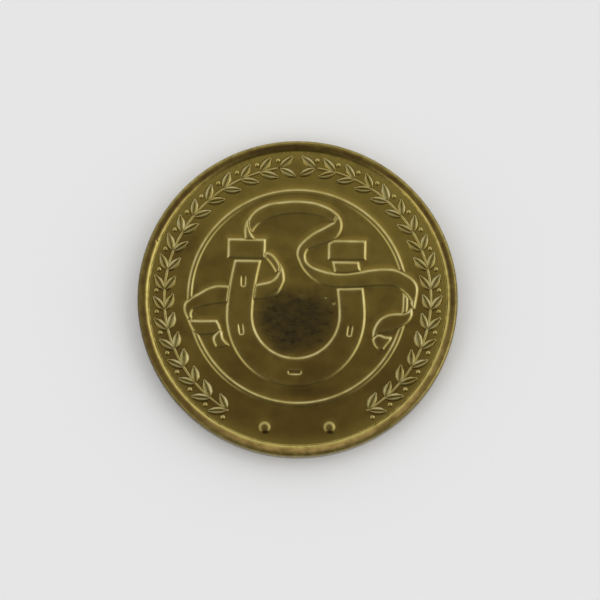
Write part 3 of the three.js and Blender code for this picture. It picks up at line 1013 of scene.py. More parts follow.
@dataclass
class TokenMetal:
    """The token's metal: both faces and the edge between them in one closed skin."""

    name: str = "token_metal"
    obverse_field_depth: float = 0.26
    reverse_field_depth: float = 0.22
    reverse_spacings: Pair = (0.16, 0.34)
    reverse_seed: int = 11
    border_inset: float = 1.22
    ring_inset: float = 2.02
    pellet_diameter: float = 0.74
    pellet_run: float = 0.32
    pellet_relief: float = 0.13
    pellet_spacing: float = 5.1
    pellet_shift: Pair = (-0.05, -0.09)
    pellet_corners: int = 40
    wear_and_light: WearAndPaintedLight = field(default_factory=WearAndPaintedLight)
    blank: Blank = field(init=False)
    die: Die = field(default_factory=Die)
    horseshoe: Horseshoe = field(default_factory=Horseshoe)
    ribbon: Ribbon = field(default_factory=Ribbon)
    clover: Clover = field(default_factory=Clover)
    nicks: tuple[Nick, ...] = (
        Nick((2.25, 0.02), 0.1, 0.05),
        Nick((2.86, -0.45), 0.12, 0.06),
        Nick((0.31, 0.3), 0.07, 0.02),
        Nick((-9.3, -8.6), 0.14, 0.06),
        Nick((-11.16, 4.54), 0.12, 0.05),
    )

    def __post_init__(self) -> None:
        """Takes the blank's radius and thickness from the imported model."""
        low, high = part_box(TOKEN_NODE)
        self.blank = Blank(radius=high.x / MM, thickness=(high.z - low.z) / MM)

    @property
    def border_radius(self) -> float:
        """Radius of the border's middle."""
        return self.blank.foot_radius - self.border_inset

    @property
    def ring_radius(self) -> float:
        """Radius of the plain ring's middle."""
        return self.border_radius - self.ring_inset

    @property
    def obverse_field(self) -> float:
        """Height of the obverse field above the plane of the reverse rim."""
        return self.blank.thickness - self.obverse_field_depth

    def pellets(self) -> list[Stretch]:
        """Draws the two round pellets in the border's gap.

        Returns:
            The pellets.
        """
        drop = math.sqrt(self.border_radius**2 - (self.pellet_spacing / 2.0) ** 2)
        ring = self.blank.circle(self.pellet_diameter / 2.0, self.pellet_corners)
        places = [
            np.array([side.value * self.pellet_spacing / 2.0, -drop]) + np.array(self.pellet_shift)
            for side in Side
        ]
        return [Stretch(ring + place, self.pellet_relief, 0.0, run=self.pellet_run) for place in places]

    def device(self) -> list[Stretch]:
        """Puts the horseshoe, the ribbon and the pellets in their order.

        Returns:
            The stretches of relief, from the nearest to the farthest.
        """
        shoe, ribbon, die = self.horseshoe, self.ribbon, self.die
        relief, fold = die.device_relief, die.fold_parting
        behind_shoe = (
            ribbon.stub, ribbon.loop_front, ribbon.loop_back, ribbon.left_band, ribbon.left_return,
            ribbon.left_tail, ribbon.right_tail, ribbon.tail_curl,
        )
        return [
            Stretch(ribbon.drawn(ribbon.arch), relief, fold),
            Stretch(ribbon.drawn(ribbon.serpent), relief, die.shoe_parting),
            *(Stretch(shoe.heel_block(side), relief, fold) for side in Side),
            Stretch(shoe.web(), relief, fold, shoe.nail_slots()),
            *(Stretch(ribbon.drawn(runs), relief, fold) for runs in behind_shoe),
            Stretch(ribbon.drawn(ribbon.opening), 0.0, 0.0),
            *self.pellets(),
        ]

    def obverse(self) -> Face:
        """The face with the horseshoe."""
        depth = self.obverse_field_depth
        return Face(self.blank, self.die, depth, self.ring_radius, self.device(), self.nicks)

    def reverse(self) -> Face:
        """Makes the face with the clover, more coarsely cut than the obverse.

        Returns:
            The face.
        """
        outlines = [self.clover.stem(), *self.clover.leaves()]
        stretches = [Stretch(outline, self.die.device_relief, 0.0) for outline in outlines]
        rows = self.die.ring_row_offsets[::2]
        corners, fill = self.reverse_spacings
        coarse = Die(corner_spacing=corners, fill_spacing=fill, ring_row_offsets=rows)
        depth = self.reverse_field_depth
        return Face(self.blank, coarse, depth, self.ring_radius, stretches, seed=self.reverse_seed)

    def build(self) -> bpy.types.Object:
        """Builds the closed skin from both faces and the edge.

        Returns:
            The token's object, at the origin.
        """
        obverse, reverse = self.obverse(), self.reverse()
        top_places, bottom_places = obverse.places(), reverse.places()
        top = np.column_stack([top_places, self.obverse_field + obverse.heights(top_places)])
        under = self.reverse_field_depth - reverse.heights(bottom_places)
        bottom = np.column_stack([bottom_places * np.array([1.0, -1.0]), under])
        around = self.blank.around
        levels = np.linspace(top[0, 2], bottom[0, 2], self.blank.edge_rows + 2)[1:-1]
        edge = [np.column_stack([top[:around, :2], np.full(around, level)]) for level in levels]
        corners = np.vstack([top, *edge, bottom])
        top_faces = triangles_over(top_places)
        bottom_faces = triangles_over(bottom_places)
        bottom_start = len(corners) - len(bottom)
        rings = [np.arange(around)]
        rings += [len(top) + row * around + np.arange(around) for row in range(self.blank.edge_rows)]
        rings.append(bottom_start + (-np.arange(around)) % around)
        faces = [top_faces, bottom_faces + bottom_start]
        for upper, lower in zip(rings, rings[1:]):
            upper_next, lower_next = np.roll(upper, -1), np.roll(lower, -1)
            faces.append(np.column_stack([upper, lower, lower_next]))
            faces.append(np.column_stack([upper, lower_next, upper_next]))
        triangles = np.vstack(faces)
        mesh = bpy.data.meshes.new(self.name)
        mesh.from_pydata((corners * MM).tolist(), [], triangles.tolist())
        mesh.shade_smooth()
        self.wear_and_light.mark(mesh, corners, triangles)
        token = bpy.data.objects.new(self.name, mesh)
        bpy.context.scene.collection.objects.link(token)
        return token


@dataclass(frozen=True)
class LaurelBorder:
    """The laurel border: two sprays that climb from the gap at the foot and meet at the top.

    A spray is a thin stem with pairs of leaves and a berry at the foot of each pair.
    """

    radius: float
    field_level: float
    name: str = "laurel_border"
    gap_degrees: float = 62.0
    stem_half_width: float = 0.12
    stem_relief: float = 0.1
    stem_sides: int = 16
    stem_cuts: int = 140
    leaf_length: float = 1.58
    leaf_width: float = 0.8
    leaf_pitch: float = 1.6
    leaf_cuts: int = 21
    leaf_dip: float = 0.2
    lean_degrees: float = 33.0
    lean_spread_degrees: float = 3.0
    size_spread: float = 0.05
    foot_share: float = 0.08
    berry_diameter: float = 0.42
    berry_cuts: tuple[int, int] = (16, 10)
    relief: float = 0.14
    root: float = 0.08
    seed: int = 3
    leaf_half_width: Run = (
        (0.0, 0.1), (0.12, 0.5), (0.36, 0.96), (0.55, 1.0), (0.8, 0.66), (0.94, 0.3), (1.0, 0.08),
    )
    leaf_crown: Run = ((0.0, 0.2), (0.1, 0.85), (0.25, 1.0), (0.8, 1.0), (0.92, 0.8), (1.0, 0.1))
    leaf_section: Run = (
        (0.0, 0.5), (0.08, 0.62), (0.18, 1.0), (0.5, 0.98), (0.64, 0.76), (0.9, 0.16), (1.0, 0.0),
    )
    leaf_rub: float = 0.9
    flank_share: float = 0.45
    # The leaf is darker at its foot, where it meets the field.
    foot_darkening: float = 0.85
    foot_darkening_full: float = 0.05
    # Painted shade: slopes that face the token's foot lose their rub and highlight.
    south_slope_shade: float = 0.9
    south_shade_full: float = 0.45
    berry_rub: float = 0.75
    stem_rub: float = 0.8
    crease_degrees: float = 30.0

    @property
    def start(self) -> float:
        """The angle at which the right spray starts."""
        return -QUARTER_TURN + math.radians(self.gap_degrees) / 2.0

    @property
    def pairs(self) -> int:
        """How many pairs of leaves each spray has."""
        return round((QUARTER_TURN - self.start) * self.radius / self.leaf_pitch)

    @property
    def step(self) -> float:
        """The angle from one pair to the next."""
        return (QUARTER_TURN - self.start) / self.pairs

    def inputs(self) -> dict[str, float | int]:
        """Lists the tree's named inputs.

        Returns:
            The value of each input, with lengths in metres and angles in radians.
        """
        lean = math.radians(self.lean_degrees)
        lengths = {
            "Border Radius": self.radius,
            "Field Level": self.field_level,
            "Leaf Length": self.leaf_length,
            "Leaf Width": self.leaf_width,
            "Relief": self.relief,
            "Root": self.root,
            "Stem Half Width": self.stem_half_width,
            "Berry Diameter": self.berry_diameter,
            "Berry Offset": self.leaf_length * math.sin(lean) - self.berry_diameter / 2.0,
        }
        return {
            **{label: length * MM for label, length in lengths.items()},
            "Start Angle": self.start,
            "Pair Step": self.step,
            "Foot Share": self.foot_share,
            "Leaf Lean": lean,
            "Lean Spread": math.radians(self.lean_spread_degrees),
            "Size Spread": self.size_spread,
            "Stem Relief Share": self.stem_relief / self.stem_half_width,
            "Pairs": self.pairs,
            "Seed": self.seed,
        }

    def leaf(self, tree: Tree, sizes: Sockets) -> Socket:
        """Shapes a fine box to a leaf along +X, with a rim that dips into the field and a sunk midrib.

        Args:
            tree: The border's tree.
            sizes: The tree's named inputs.

        Returns:
            The leaf's mesh.
        """
        cuts = {"Vertices X": self.leaf_cuts, "Vertices Y": self.leaf_cuts, "Vertices Z": 2}
        leaf = add_node(tree, "GeometryNodeMeshCube", cuts)
        x, y, z = add_node(tree, SEPARATE, [add_node(tree, "GeometryNodeInputPosition")]).node.outputs
        values = {**sizes, "x": x, "y": y, "z": z}
        add_steps(tree, values, (
            ("along", MATH, "ADD", "x", 0.5),
            ("aside", MATH, "MULTIPLY", "y", 2.0),
            ("level", MATH, "ADD", "z", 0.5),
            ("away", MATH, "ABSOLUTE", "aside"),
        ))
        for name, value, points in (
            ("half", "along", self.leaf_half_width),
            ("crown", "along", self.leaf_crown),
            ("section", "away", self.leaf_section),
        ):
            values[name] = bent(add_node(tree, CURVE, {"Value": values[value]}), points)
        add_steps(tree, values, (
            ("shape", MATH, "MULTIPLY", "crown", "section"),
            ("lift", MATH, "MULTIPLY_ADD", "shape", 1.0 + self.leaf_dip, -self.leaf_dip),
            ("top", MATH, "MULTIPLY", "lift", "Relief"),
            ("floor", MATH, "MULTIPLY", "Root", -1.0),
            ("new x", MATH, "MULTIPLY", "along", "Leaf Length"),
            ("half width", MATH, "MULTIPLY", "Leaf Width", 0.5),
            ("aside there", MATH, "MULTIPLY", "aside", "half"),
            ("new y", MATH, "MULTIPLY", "aside there", "half width"),
        ))
        height = add_node(tree, RANGE, [values["level"], 0.0, 1.0, values["floor"], values["top"]])
        place = add_node(tree, COMBINE, [values["new x"], values["new y"], height])
        # The leaf's rub and painted highlight, and its darkening at the foot.
        for name, *spread in (
            ("rubbed", 1.0, self.flank_share, self.leaf_rub),
            ("grime", self.flank_share, self.foot_darkening_full, 0.0, self.foot_darkening),
        ):
            share = add_node(tree, RANGE, [values["shape"], *spread])
            leaf = add_node(tree, STORE, {"Geometry": leaf, "Name": name, "Value": share})
        return add_node(tree, "GeometryNodeSetPosition", {"Geometry": leaf, "Position": place})

    def sprays(self, tree: Tree, sizes: Sockets) -> list[Socket]:
        """Sets the leaves and berries of both sprays on their points.

        Args:
            tree: The border's tree.
            sizes: The tree's named inputs.

        Returns:
            The instances of the leaves and of the berries.
        """
        values = {**sizes, "index": add_node(tree, "GeometryNodeInputIndex")}
        add_steps(tree, values, (
            ("last right", MATH, "SUBTRACT", "Pairs", 0.5),
            ("is left", MATH, "GREATER_THAN", "index", "last right"),
            ("side", MATH, "MULTIPLY_ADD", "is left", -2.0, 1.0),
            ("skipped", MATH, "MULTIPLY", "is left", "Pairs"),
            ("pair", MATH, "SUBTRACT", "index", "skipped"),
            ("pair's place", MATH, "ADD", "pair", "Foot Share"),
            ("climb", MATH, "MULTIPLY_ADD", "pair's place", "Pair Step", "Start Angle"),
            ("cosine", MATH, "COSINE", "climb"),
            ("up", MATH, "SINE", "climb"),
            ("across", MATH, "MULTIPLY", "cosine", "side"),
            ("heading", MATH, "MULTIPLY_ADD", "climb", "side", QUARTER_TURN),
            ("count", MATH, "MULTIPLY", "Pairs", 2.0),
            ("Berry Radius", MATH, "ADD", "Border Radius", "Berry Offset"),
        ))
        outwards = add_node(tree, COMBINE, [values["across"], values["up"]])
        points = []
        for radius in ("Border Radius", "Berry Radius"):
            spot = add_node(tree, VECTOR_MATH, {0: outwards, "Scale": values[radius]}, operation="SCALE")
            row = {"Count": values["count"], "Position": spot}
            points.append(add_node(tree, "GeometryNodePoints", row))
        leaf = self.leaf(tree, sizes)
        groups = []
        for side in Side:
            add_steps(tree, values, (("salt", MATH, "ADD", "Seed", float(side.value)),))
            draw = {2: -1.0, 3: 1.0, "Seed": values["salt"]}
            values["sway"] = add_node(tree, "FunctionNodeRandomValue", draw, 1, data_type="FLOAT")
            add_steps(tree, values, (
                ("lean", MATH, "MULTIPLY_ADD", "Leaf Lean", float(side.value), "heading"),
                ("turn", MATH, "MULTIPLY_ADD", "sway", "Lean Spread", "lean"),
                ("size", MATH, "MULTIPLY_ADD", "sway", "Size Spread", 1.0),
            ))
            turn = add_node(tree, COMBINE, {2: values["turn"]})
            scale = add_node(tree, COMBINE, [values["size"], values["size"], 1.0])
            setting = {"Points": points[0], "Instance": leaf, "Rotation": turn, "Scale": scale}
            groups.append(add_node(tree, INSTANCES, setting))
        berries = {"Points": points[1], "Instance": self.berry(tree, sizes)}
        return [*groups, add_node(tree, INSTANCES, berries)]

    def berry(self, tree: Tree, sizes: Sockets) -> Socket:
        """Makes a flattened ball, half of it above the field.

        Args:
            tree: The border's tree.
            sizes: The tree's named inputs.

        Returns:
            The berry's mesh.
        """
        values = dict(sizes)
        add_steps(tree, values, (
            ("radius", MATH, "MULTIPLY", "Berry Diameter", 0.5),
            ("flatness", MATH, "DIVIDE", "Relief", "radius"),
        ))
        ball = add_node(tree, "GeometryNodeMeshUVSphere", [*self.berry_cuts, values["radius"]])
        return self.flattened(tree, ball, values["flatness"], self.berry_rub)

    def stems(self, tree: Tree, sizes: Sockets) -> Socket:
        """Lays both stems, as flattened rods along the border's middle.

        Args:
            tree: The border's tree.
            sizes: The tree's named inputs.

        Returns:
            The mesh of both.
        """
        values = dict(sizes)
        add_steps(tree, values, (
            ("gaps", MATH, "SUBTRACT", "Pairs", 1.0),
            ("sweep", MATH, "MULTIPLY", "gaps", "Pair Step"),
            ("end", MATH, "ADD", "Start Angle", "sweep"),
            ("mirrored end", MATH, "SUBTRACT", math.pi, "end"),
        ))
        section = {"Resolution": self.stem_sides, "Radius": sizes["Stem Half Width"]}
        profile = add_node(tree, "GeometryNodeCurvePrimitiveCircle", section)
        rods = []
        for start in ("Start Angle", "mirrored end"):
            angles = {"Start Angle": values[start], "Sweep Angle": values["sweep"]}
            path = {"Resolution": self.stem_cuts, "Radius": sizes["Border Radius"], **angles}
            arc = add_node(tree, "GeometryNodeCurveArc", path)
            rod = {"Curve": arc, "Profile Curve": profile, "Fill Caps": True}
            rods.append(add_node(tree, "GeometryNodeCurveToMesh", rod))
        return self.flattened(tree, add_node(tree, JOIN, [rods]), sizes["Stem Relief Share"], self.stem_rub)

    def flattened(self, tree: Tree, mesh: Socket, flatness: Socket, rub: float) -> Socket:
        """Flattens a mesh to its relief and marks how worn it is.

        Args:
            tree: The border's tree.
            mesh: The mesh.
            flatness: Its height as a share of the height that it has.
            rub: How worn it is.

        Returns:
            The flattened mesh.
        """
        scale = add_node(tree, COMBINE, [1.0, 1.0, flatness])
        flat = add_node(tree, TRANSFORM, {"Geometry": mesh, "Scale": scale})
        return add_node(tree, STORE, {"Geometry": flat, "Name": "rubbed", "Value": rub})

    def south_shaded(self, tree: Tree, mesh: Socket) -> Socket:
        """Paints shade on the slopes that face the token's foot, by taking away their rub and highlight.

        Args:
            tree: The border's tree.
            mesh: The border's real mesh.

        Returns:
            The mesh with its new marks.
        """
        facing = add_node(tree, SEPARATE, [add_node(tree, "GeometryNodeInputNormal")], "Y")
        kept = add_node(tree, RANGE, [facing, 0.0, -self.south_shade_full, 1.0, 1.0 - self.south_slope_shade])
        rubbed = add_node(tree, "GeometryNodeInputNamedAttribute", {"Name": "rubbed"}, "Attribute")
        rubbed = add_node(tree, MATH, [rubbed, kept], operation="MULTIPLY")
        return add_node(tree, STORE, {"Geometry": mesh, "Name": "rubbed", "Value": rubbed})

    def tree(self, brass: bpy.types.Material) -> Tree:
        """Builds the border's tree of Geometry Nodes.

        Args:
            brass: The material that its mesh gets.

        Returns:
            The tree, with a named input for each size.
        """
        tree = bpy.data.node_groups.new(self.name, "GeometryNodeTree")
        for label, value in self.inputs().items():
            kind = "NodeSocketInt" if isinstance(value, int) else "NodeSocketFloat"
            tree.interface.new_socket(name=label, in_out="INPUT", socket_type=kind)
        tree.interface.new_socket(name="Geometry", in_out="OUTPUT", socket_type="NodeSocketGeometry")
        entry = add_node(tree, "NodeGroupInput").node
        sizes = {label: entry.outputs[label] for label in self.inputs()}
        pieces = [*self.sprays(tree, sizes), self.stems(tree, sizes)]
        level = add_node(tree, COMBINE, {2: sizes["Field Level"]})
        joined = add_node(tree, JOIN, [pieces])
        raised = add_node(tree, TRANSFORM, {"Geometry": joined, "Translation": level})
        real = self.south_shaded(tree, add_node(tree, "GeometryNodeRealizeInstances", [raised]))
        smooth = add_node(tree, SHADE_SMOOTH, {"Geometry": real, "Shade Smooth": True})
        crease = math.radians(self.crease_degrees)
        bend = add_node(tree, "GeometryNodeInputMeshEdgeAngle")
        sharp = add_node(tree, MATH, [bend, crease], operation="GREATER_THAN")
        edges = {"Geometry": smooth, "Selection": sharp, "Shade Smooth": False}
        split = add_node(tree, SHADE_SMOOTH, edges, domain="EDGE")
        dressed = add_node(tree, "GeometryNodeSetMaterial", {"Geometry": split, "Material": brass})
        add_node(tree, "NodeGroupOutput", {"Geometry": dressed})
        return tree

    def build(self, brass: bpy.types.Material) -> bpy.types.Object:
        """Runs the tree and keeps its result as a plain mesh.

        Args:
            brass: The token's material.

        Returns:
            The border's object, at the origin.
        """
        border = bpy.data.objects.new(self.name, bpy.data.meshes.new(self.name))
        bpy.context.scene.collection.objects.link(border)
        tree = self.tree(brass)
        modifier = border.modifiers.new(self.name, "NODES")
        modifier.node_group = tree
        values = self.inputs()
        for item in tree.interface.items_tree:
            if item.in_out == "INPUT":
                modifier[item.identifier] = values[item.name]
        depsgraph = bpy.context.evaluated_depsgraph_get()
        mesh = bpy.data.meshes.new_from_object(border.evaluated_get(depsgraph))
        mesh.name = self.name
        border.modifiers.clear()
        border.data = mesh
        return border


@dataclass(frozen=True)
class Stain:
    """A soft oval stain on the metal: its colour, how strong it is, its middle and its reach in mm."""

    colour: str
    share: float
    centre: Pair
    reach: Pair


@dataclass(frozen=True)
class Mottling:
    """A pattern of chance on the metal.

    Attributes:
        size: How large its patches are in mm, along each axis where they are drawn out.
        detail: How many finer layers lie over them.
        spread: The stretch of the noise's values over which what it draws grows from none to full.
    """

    size: float | Row
    detail: float
    spread: Pair = (0.0, 1.0)

    def noise(self, tree: Tree, place: Socket, turn: float = 0.0) -> Socket:
        """Draws the bare noise.

        Args:
            tree: The material's tree.
            place: The place on the token in mm.
            turn: How far patches that are drawn out are turned, in radians.

        Returns:
            The noise.
        """
        if isinstance(self.size, float):
            return add_node(tree, NOISE, {"Vector": place, "Scale": 1.0 / self.size, "Detail": self.detail})
        drawing = {"Rotation": (0.0, 0.0, turn), "Scale": tuple(1.0 / size for size in self.size)}
        drawn_out = add_node(tree, MAPPING, {"Vector": place, **drawing})
        return add_node(tree, NOISE, {"Vector": drawn_out, "Scale": 1.0, "Detail": self.detail})

    def share(
        self, tree: Tree, place: Socket, least: float = 0.0, most: float | Socket = 1.0, turn: float = 0.0
    ) -> Socket:
        """Draws the pattern between two shares.

        Args:
            tree: The material's tree.
            place: The place on the token in mm.
            least: The share where the pattern is absent.
            most: The share where it is full.
            turn: How far patches that are drawn out are turned, in radians.

        Returns:
            The share.
        """
        return add_node(tree, RANGE, [self.noise(tree, place, turn), *self.spread, least, most])


@dataclass(frozen=True)
class AgedBrass:
    """Struck brass, toned brown-olive by handling, with its slopes paler from rubbing and painted
    highlight.

    The oxide on brass darkens and browns its yellow, most where nothing rubs it, so the eye sees dull
    olive flats, yellow lines where the relief rises, and dark spots where damp has sat. The colour also
    holds painted light: a painted sheen inside the rim, a paler painted highlight where the rub is
    strongest, and painted shade on the flats towards the bottom, under the ribbon's arch, below the
    pellets and on the slopes that face the token's foot.
    """

    name: str = "aged_struck_brass"
    olive: str = "#7c6a31"
    # The browner, darker colour of the flats towards the bottom, partly toning and partly painted shade.
    brown: str = "#5f4c22"
    rubbed: str = "#ac9f62"
    # Painted highlight: where the rub is strongest the colour pales towards a whitish yellow.
    painted_highlight_pale: str = "#b6ad80"
    painted_highlight_start: float = 0.65
    # The rub and painted highlight are yellower on the rim's slope.
    rim_yellow: str = "#b3a45e"
    rim_yellow_band: Pair = (11.6, 11.75)
    # Painted sheen: a soft yellow glow painted on the field just inside the rim's foot.
    painted_sheen: str = "#a8964a"
    painted_sheen_band: Pair = (10.5, 12.5)
    painted_sheen_by_share: Run = (
        (0.0, 0.0), (0.25, 0.05), (0.5, 0.2), (0.62, 0.28), (0.7, 0.1), (0.8, 0.0), (1.0, 0.0),
    )
    # The colour of darkening in the hollows, of random stains, and of painted shade.
    grime: str = "#3c2e17"
    roughness: float = 0.27
    roughness_change: float = 0.04
    roughness_spread: Pair = (0.3, 0.7)
    oxide_roughness: float = 0.14
    # The flats go browner and darker towards the bottom: partly toning, partly painted shade.
    shade_and_browning_run: float = 24.0
    shade_and_browning_heading: Row = (-0.35, -0.94, 0.0)
    shade_and_browning_spread: Pair = (0.8, 1.75)
    clouds: Mottling = Mottling(6.0, 3.0)
    cloud_weight: float = 1.1
    mottles: Mottling = Mottling(1.5, 3.0)
    mottle_weight: float = 0.4
    stains: Mottling = Mottling(2.2, 3.0, (0.52, 0.7))
    stain_share: float = 0.22
    patches: Mottling = Mottling(0.9, 4.0, (0.35, 0.6))
    least_rub: float = 0.7
    stain_edge: Mottling = Mottling(2.2, 5.0)
    stain_edge_spread: Pair = (1.15, 1.9)
    edge_raggedness: float = 1.3
    grain: Mottling = Mottling(0.14, 2.0)
    grain_depth: float = 0.0012
    hairlines: Mottling = Mottling((4.0, 0.06, 5.0), 1.0, (0.62, 0.74))
    hairline_depth: float = 0.0008
    hairline_turns_degrees: Row = (24.0, 97.0, 151.0)
    oxide_patch: Stain = Stain("#3a311d", 1.0, (0.05, -1.9), (3.7, 2.6))
    # Painted shade under the ribbon's arch, a dark stain round the oxide patch, and a darker band below the
    # horseshoe's toe.
    shades: tuple[Stain, ...] = (
        Stain("#3c2e17", 0.25, (-0.6, 6.3), (2.7, 1.3)),
        Stain("#3c2e17", 0.3, (0.8, -0.5), (3.3, 1.9)),
        Stain("#3c2e17", 0.25, (0.9, -7.5), (2.6, 0.5)),
    )
    # Painted shadows: dark crescents at the south feet of the two pellets.
    pellet_foot_shadows: tuple[Stain, ...] = (
        Stain("#20180b", 0.75, (-2.54, -10.73), (0.3, 0.15)),
        Stain("#20180b", 0.75, (2.56, -10.73), (0.3, 0.15)),
    )
    smears: Mottling = Mottling((0.9, 0.5, math.inf), 6.0, (0.35, 0.6))
    least_smear: float = 0.72
    specks: Mottling = Mottling((0.7, 0.33, math.inf), 2.0, (0.55, 0.68))
    speck_colour: str = "#1e190f"
    speck_share: float = 0.6
    crest_brown: str = "#5c4725"
    crest_band: Pair = (11.8, 12.6)
    crest_by_share: Run = ((0.0, 0.0), (0.2, 0.0), (0.36, 1.0), (0.6, 1.0), (0.8, 0.3), (1.0, 0.3))
    crest_patches: Mottling = Mottling(1.9, 4.0, (0.38, 0.56))
    least_crest: float = 0.25
    blotch_colour: str = "#4a3216"
    blotch_share: float = 0.34
    blotches: Mottling = Mottling(0.55, 3.0, (0.44, 0.66))
    blotch_run: float = 0.2
    coppery: str = "#a1874f"
    coppery_heading: Row = (0.35, -0.94, 0.0)
    coppery_spread: Pair = (5.0, 10.5)

    def material(self) -> bpy.types.Material:
        """Makes the material.

        Returns:
            The material, which reads Object coordinates and the mesh's marks of rub, darkening and painted
            light.
        """
        brass = bpy.data.materials.new(self.name)
        brass.use_nodes = True
        tree = brass.node_tree
        tree.nodes.clear()
        place = add_node(tree, "ShaderNodeTexCoord", output="Object")
        place = add_node(tree, MAPPING, {"Vector": place, "Scale": (1.0 / MM,) * 3})
        mottle = self.patches.noise(tree, place)
        oxide, specks = self.oxide_shares(tree, place)
        rough = [self.roughness - self.roughness_change, self.roughness + self.roughness_change]
        rough = add_node(tree, RANGE, [mottle, *self.roughness_spread, *rough])
        rough = add_node(tree, MATH, [oxide, self.oxide_roughness, rough], operation="MULTIPLY_ADD")
        look = {
            "Base Color": self.colour(tree, place, mottle, oxide, specks),
            "Metallic": 1.0,
            "Roughness": rough,
            "Normal": self.bumps(tree, place),
        }
        shader = add_node(tree, "ShaderNodeBsdfPrincipled", look)
        add_node(tree, "ShaderNodeOutputMaterial", {"Surface": shader})
        return brass

    def colour(self, tree: Tree, place: Socket, mottle: Socket, oxide: Socket, specks: Socket) -> Socket:
        """Works out the metal's colour, from the toned flats up to the darkening and painted shade.

        Args:
            tree: The material's tree.
            place: The place on the token in mm.
            mottle: A fine mottling, from 0 to 1.
            oxide: How much dark oxide there is.
            specks: How much of a dark speck there is.

        Returns:
            The colour.
        """
        flat = add_node(tree, MAPPING, {"Vector": place, "Scale": (1.0, 1.0, 0.0)})
        radius = add_node(tree, VECTOR_MATH, [flat], "Value", operation="LENGTH")
        painted_sheen, crest = (
            bent(add_node(tree, CURVE, {"Value": add_node(tree, RANGE, [radius, *band])}), shares)
            for band, shares in (
                (self.painted_sheen_band, self.painted_sheen_by_share), (self.crest_band, self.crest_by_share),
            )
        )
        rubbed, grime = (
            add_node(tree, "ShaderNodeAttribute", output="Fac", attribute_name=name)
            for name in ("rubbed", "grime")
        )
        patches = add_node(tree, RANGE, [mottle, *self.patches.spread, self.least_rub])
        rubbed = add_node(tree, MATH, [rubbed, patches], operation="MULTIPLY")
        # Painted highlight: where the rub is strongest the colour pales.
        painted_highlight = add_node(tree, RANGE, [rubbed, self.painted_highlight_start])
        by_rim = add_node(tree, RANGE, [radius, *self.rim_yellow_band])
        bright = layered(tree, self.rubbed, [(painted_highlight, self.painted_highlight_pale), (by_rim, self.rim_yellow)])
        return layered(tree, self.flat_colour(tree, place), [
            # Painted shade under the arch, a stain round the oxide, and a darker band below the toe.
            *((self.stain_share_at(tree, place, stain), stain.colour) for stain in self.shades),
            # Painted sheen inside the rim's foot.
            (painted_sheen, self.painted_sheen),
            (self.crest_share(tree, place, crest), self.crest_colour(tree, place)),
            (oxide, self.oxide_patch.colour),
            (specks, self.speck_colour),
            # Rub with painted highlight.
            (rubbed, bright),
            (self.blotch_share_at(tree, place, radius), self.blotch_colour),
            # Painted shadows below the pellets.
            *((self.stain_share_at(tree, place, stain), stain.colour) for stain in self.pellet_foot_shadows),
            # Darkening in the hollows and at the leaves' feet, tarnish, and painted shade on the rim's
            # slope at the head.
            (grime, self.grime),
        ])

    def stain_share_at(self, tree: Tree, place: Socket, stain: Stain) -> Socket:
        """Spreads a stain with a ragged edge.

        Args:
            tree: The material's tree.
            place: The place on the token in mm.
            stain: The stain.

        Returns:
            How much of the stain there is: its own share in the middle, and none outside.
        """
        (x, y), (across, up) = stain.centre, stain.reach
        centring = {"Location": (-x / across, -y / up, 0.0), "Scale": (1.0 / across, 1.0 / up, 0.0)}
        centred = add_node(tree, MAPPING, {"Vector": place, **centring})
        away = add_node(tree, VECTOR_MATH, [centred], "Value", operation="LENGTH")
        edge = self.stain_edge.noise(tree, place)
        ragged = add_node(tree, MATH, [edge, self.edge_raggedness, away], operation="MULTIPLY_ADD")
        fade = [ragged, *self.stain_edge_spread, stain.share, 0.0]
        return add_node(tree, RANGE, fade, interpolation_type="SMOOTHSTEP")

    def oxide_shares(self, tree: Tree, place: Socket) -> list[Socket]:
        """Smears the oxide patch inside the horseshoe's bow, and scatters short dark specks over it.

        Args:
            tree: The material's tree.
            place: The place on the token in mm.

        Returns:
            How much oxide there is, and how much of a speck.
        """
        shares = [self.stain_share_at(tree, place, self.oxide_patch)]
        for marks, *ends in ((self.smears, self.least_smear), (self.specks, 0.0, self.speck_share)):
            drawn = marks.share(tree, place, *ends)
            shares.append(add_node(tree, MATH, [shares[-1], drawn], operation="MULTIPLY"))
        return shares[1:]

    def crest_colour(self, tree: Tree, place: Socket) -> Socket:
        """Colours the rim's crest: brown, and coppery towards the token's foot and right.

        Args:
            tree: The material's tree.
            place: The place on the token in mm.

        Returns:
            The colour.
        """
        ways = [place, self.coppery_heading]
        heading = add_node(tree, VECTOR_MATH, ways, "Value", operation="DOT_PRODUCT")
        lower = add_node(tree, RANGE, [heading, *self.coppery_spread])
        return layered(tree, self.crest_brown, [(lower, self.coppery)])

    def crest_share(self, tree: Tree, place: Socket, crest: Socket) -> Socket:
        """Lays the crest's own colour in patches along the rim, where rubbing darkens it.

        Args:
            tree: The material's tree.
            place: The place on the token in mm.
            crest: How much of the colour the place's radius gives it.

        Returns:
            How much of the crest's colour there is.
        """
        worn = self.crest_patches.share(tree, place, self.least_crest)
        return add_node(tree, MATH, [crest, worn], operation="MULTIPLY")

    def blotch_share_at(self, tree: Tree, place: Socket, radius: Socket) -> Socket:
        """Spreads small red-brown blotches over the rim, where hands leave them.

        Args:
            tree: The material's tree.
            place: The place on the token in mm.
            radius: Its distance from the token's middle.

        Returns:
            How strong a blotch is: none inside the rim.
        """
        start = self.crest_band[0]
        on_rim = add_node(tree, RANGE, [radius, start, start + self.blotch_run, 0.0, self.blotch_share])
        return self.blotches.share(tree, place, 0.0, on_rim)

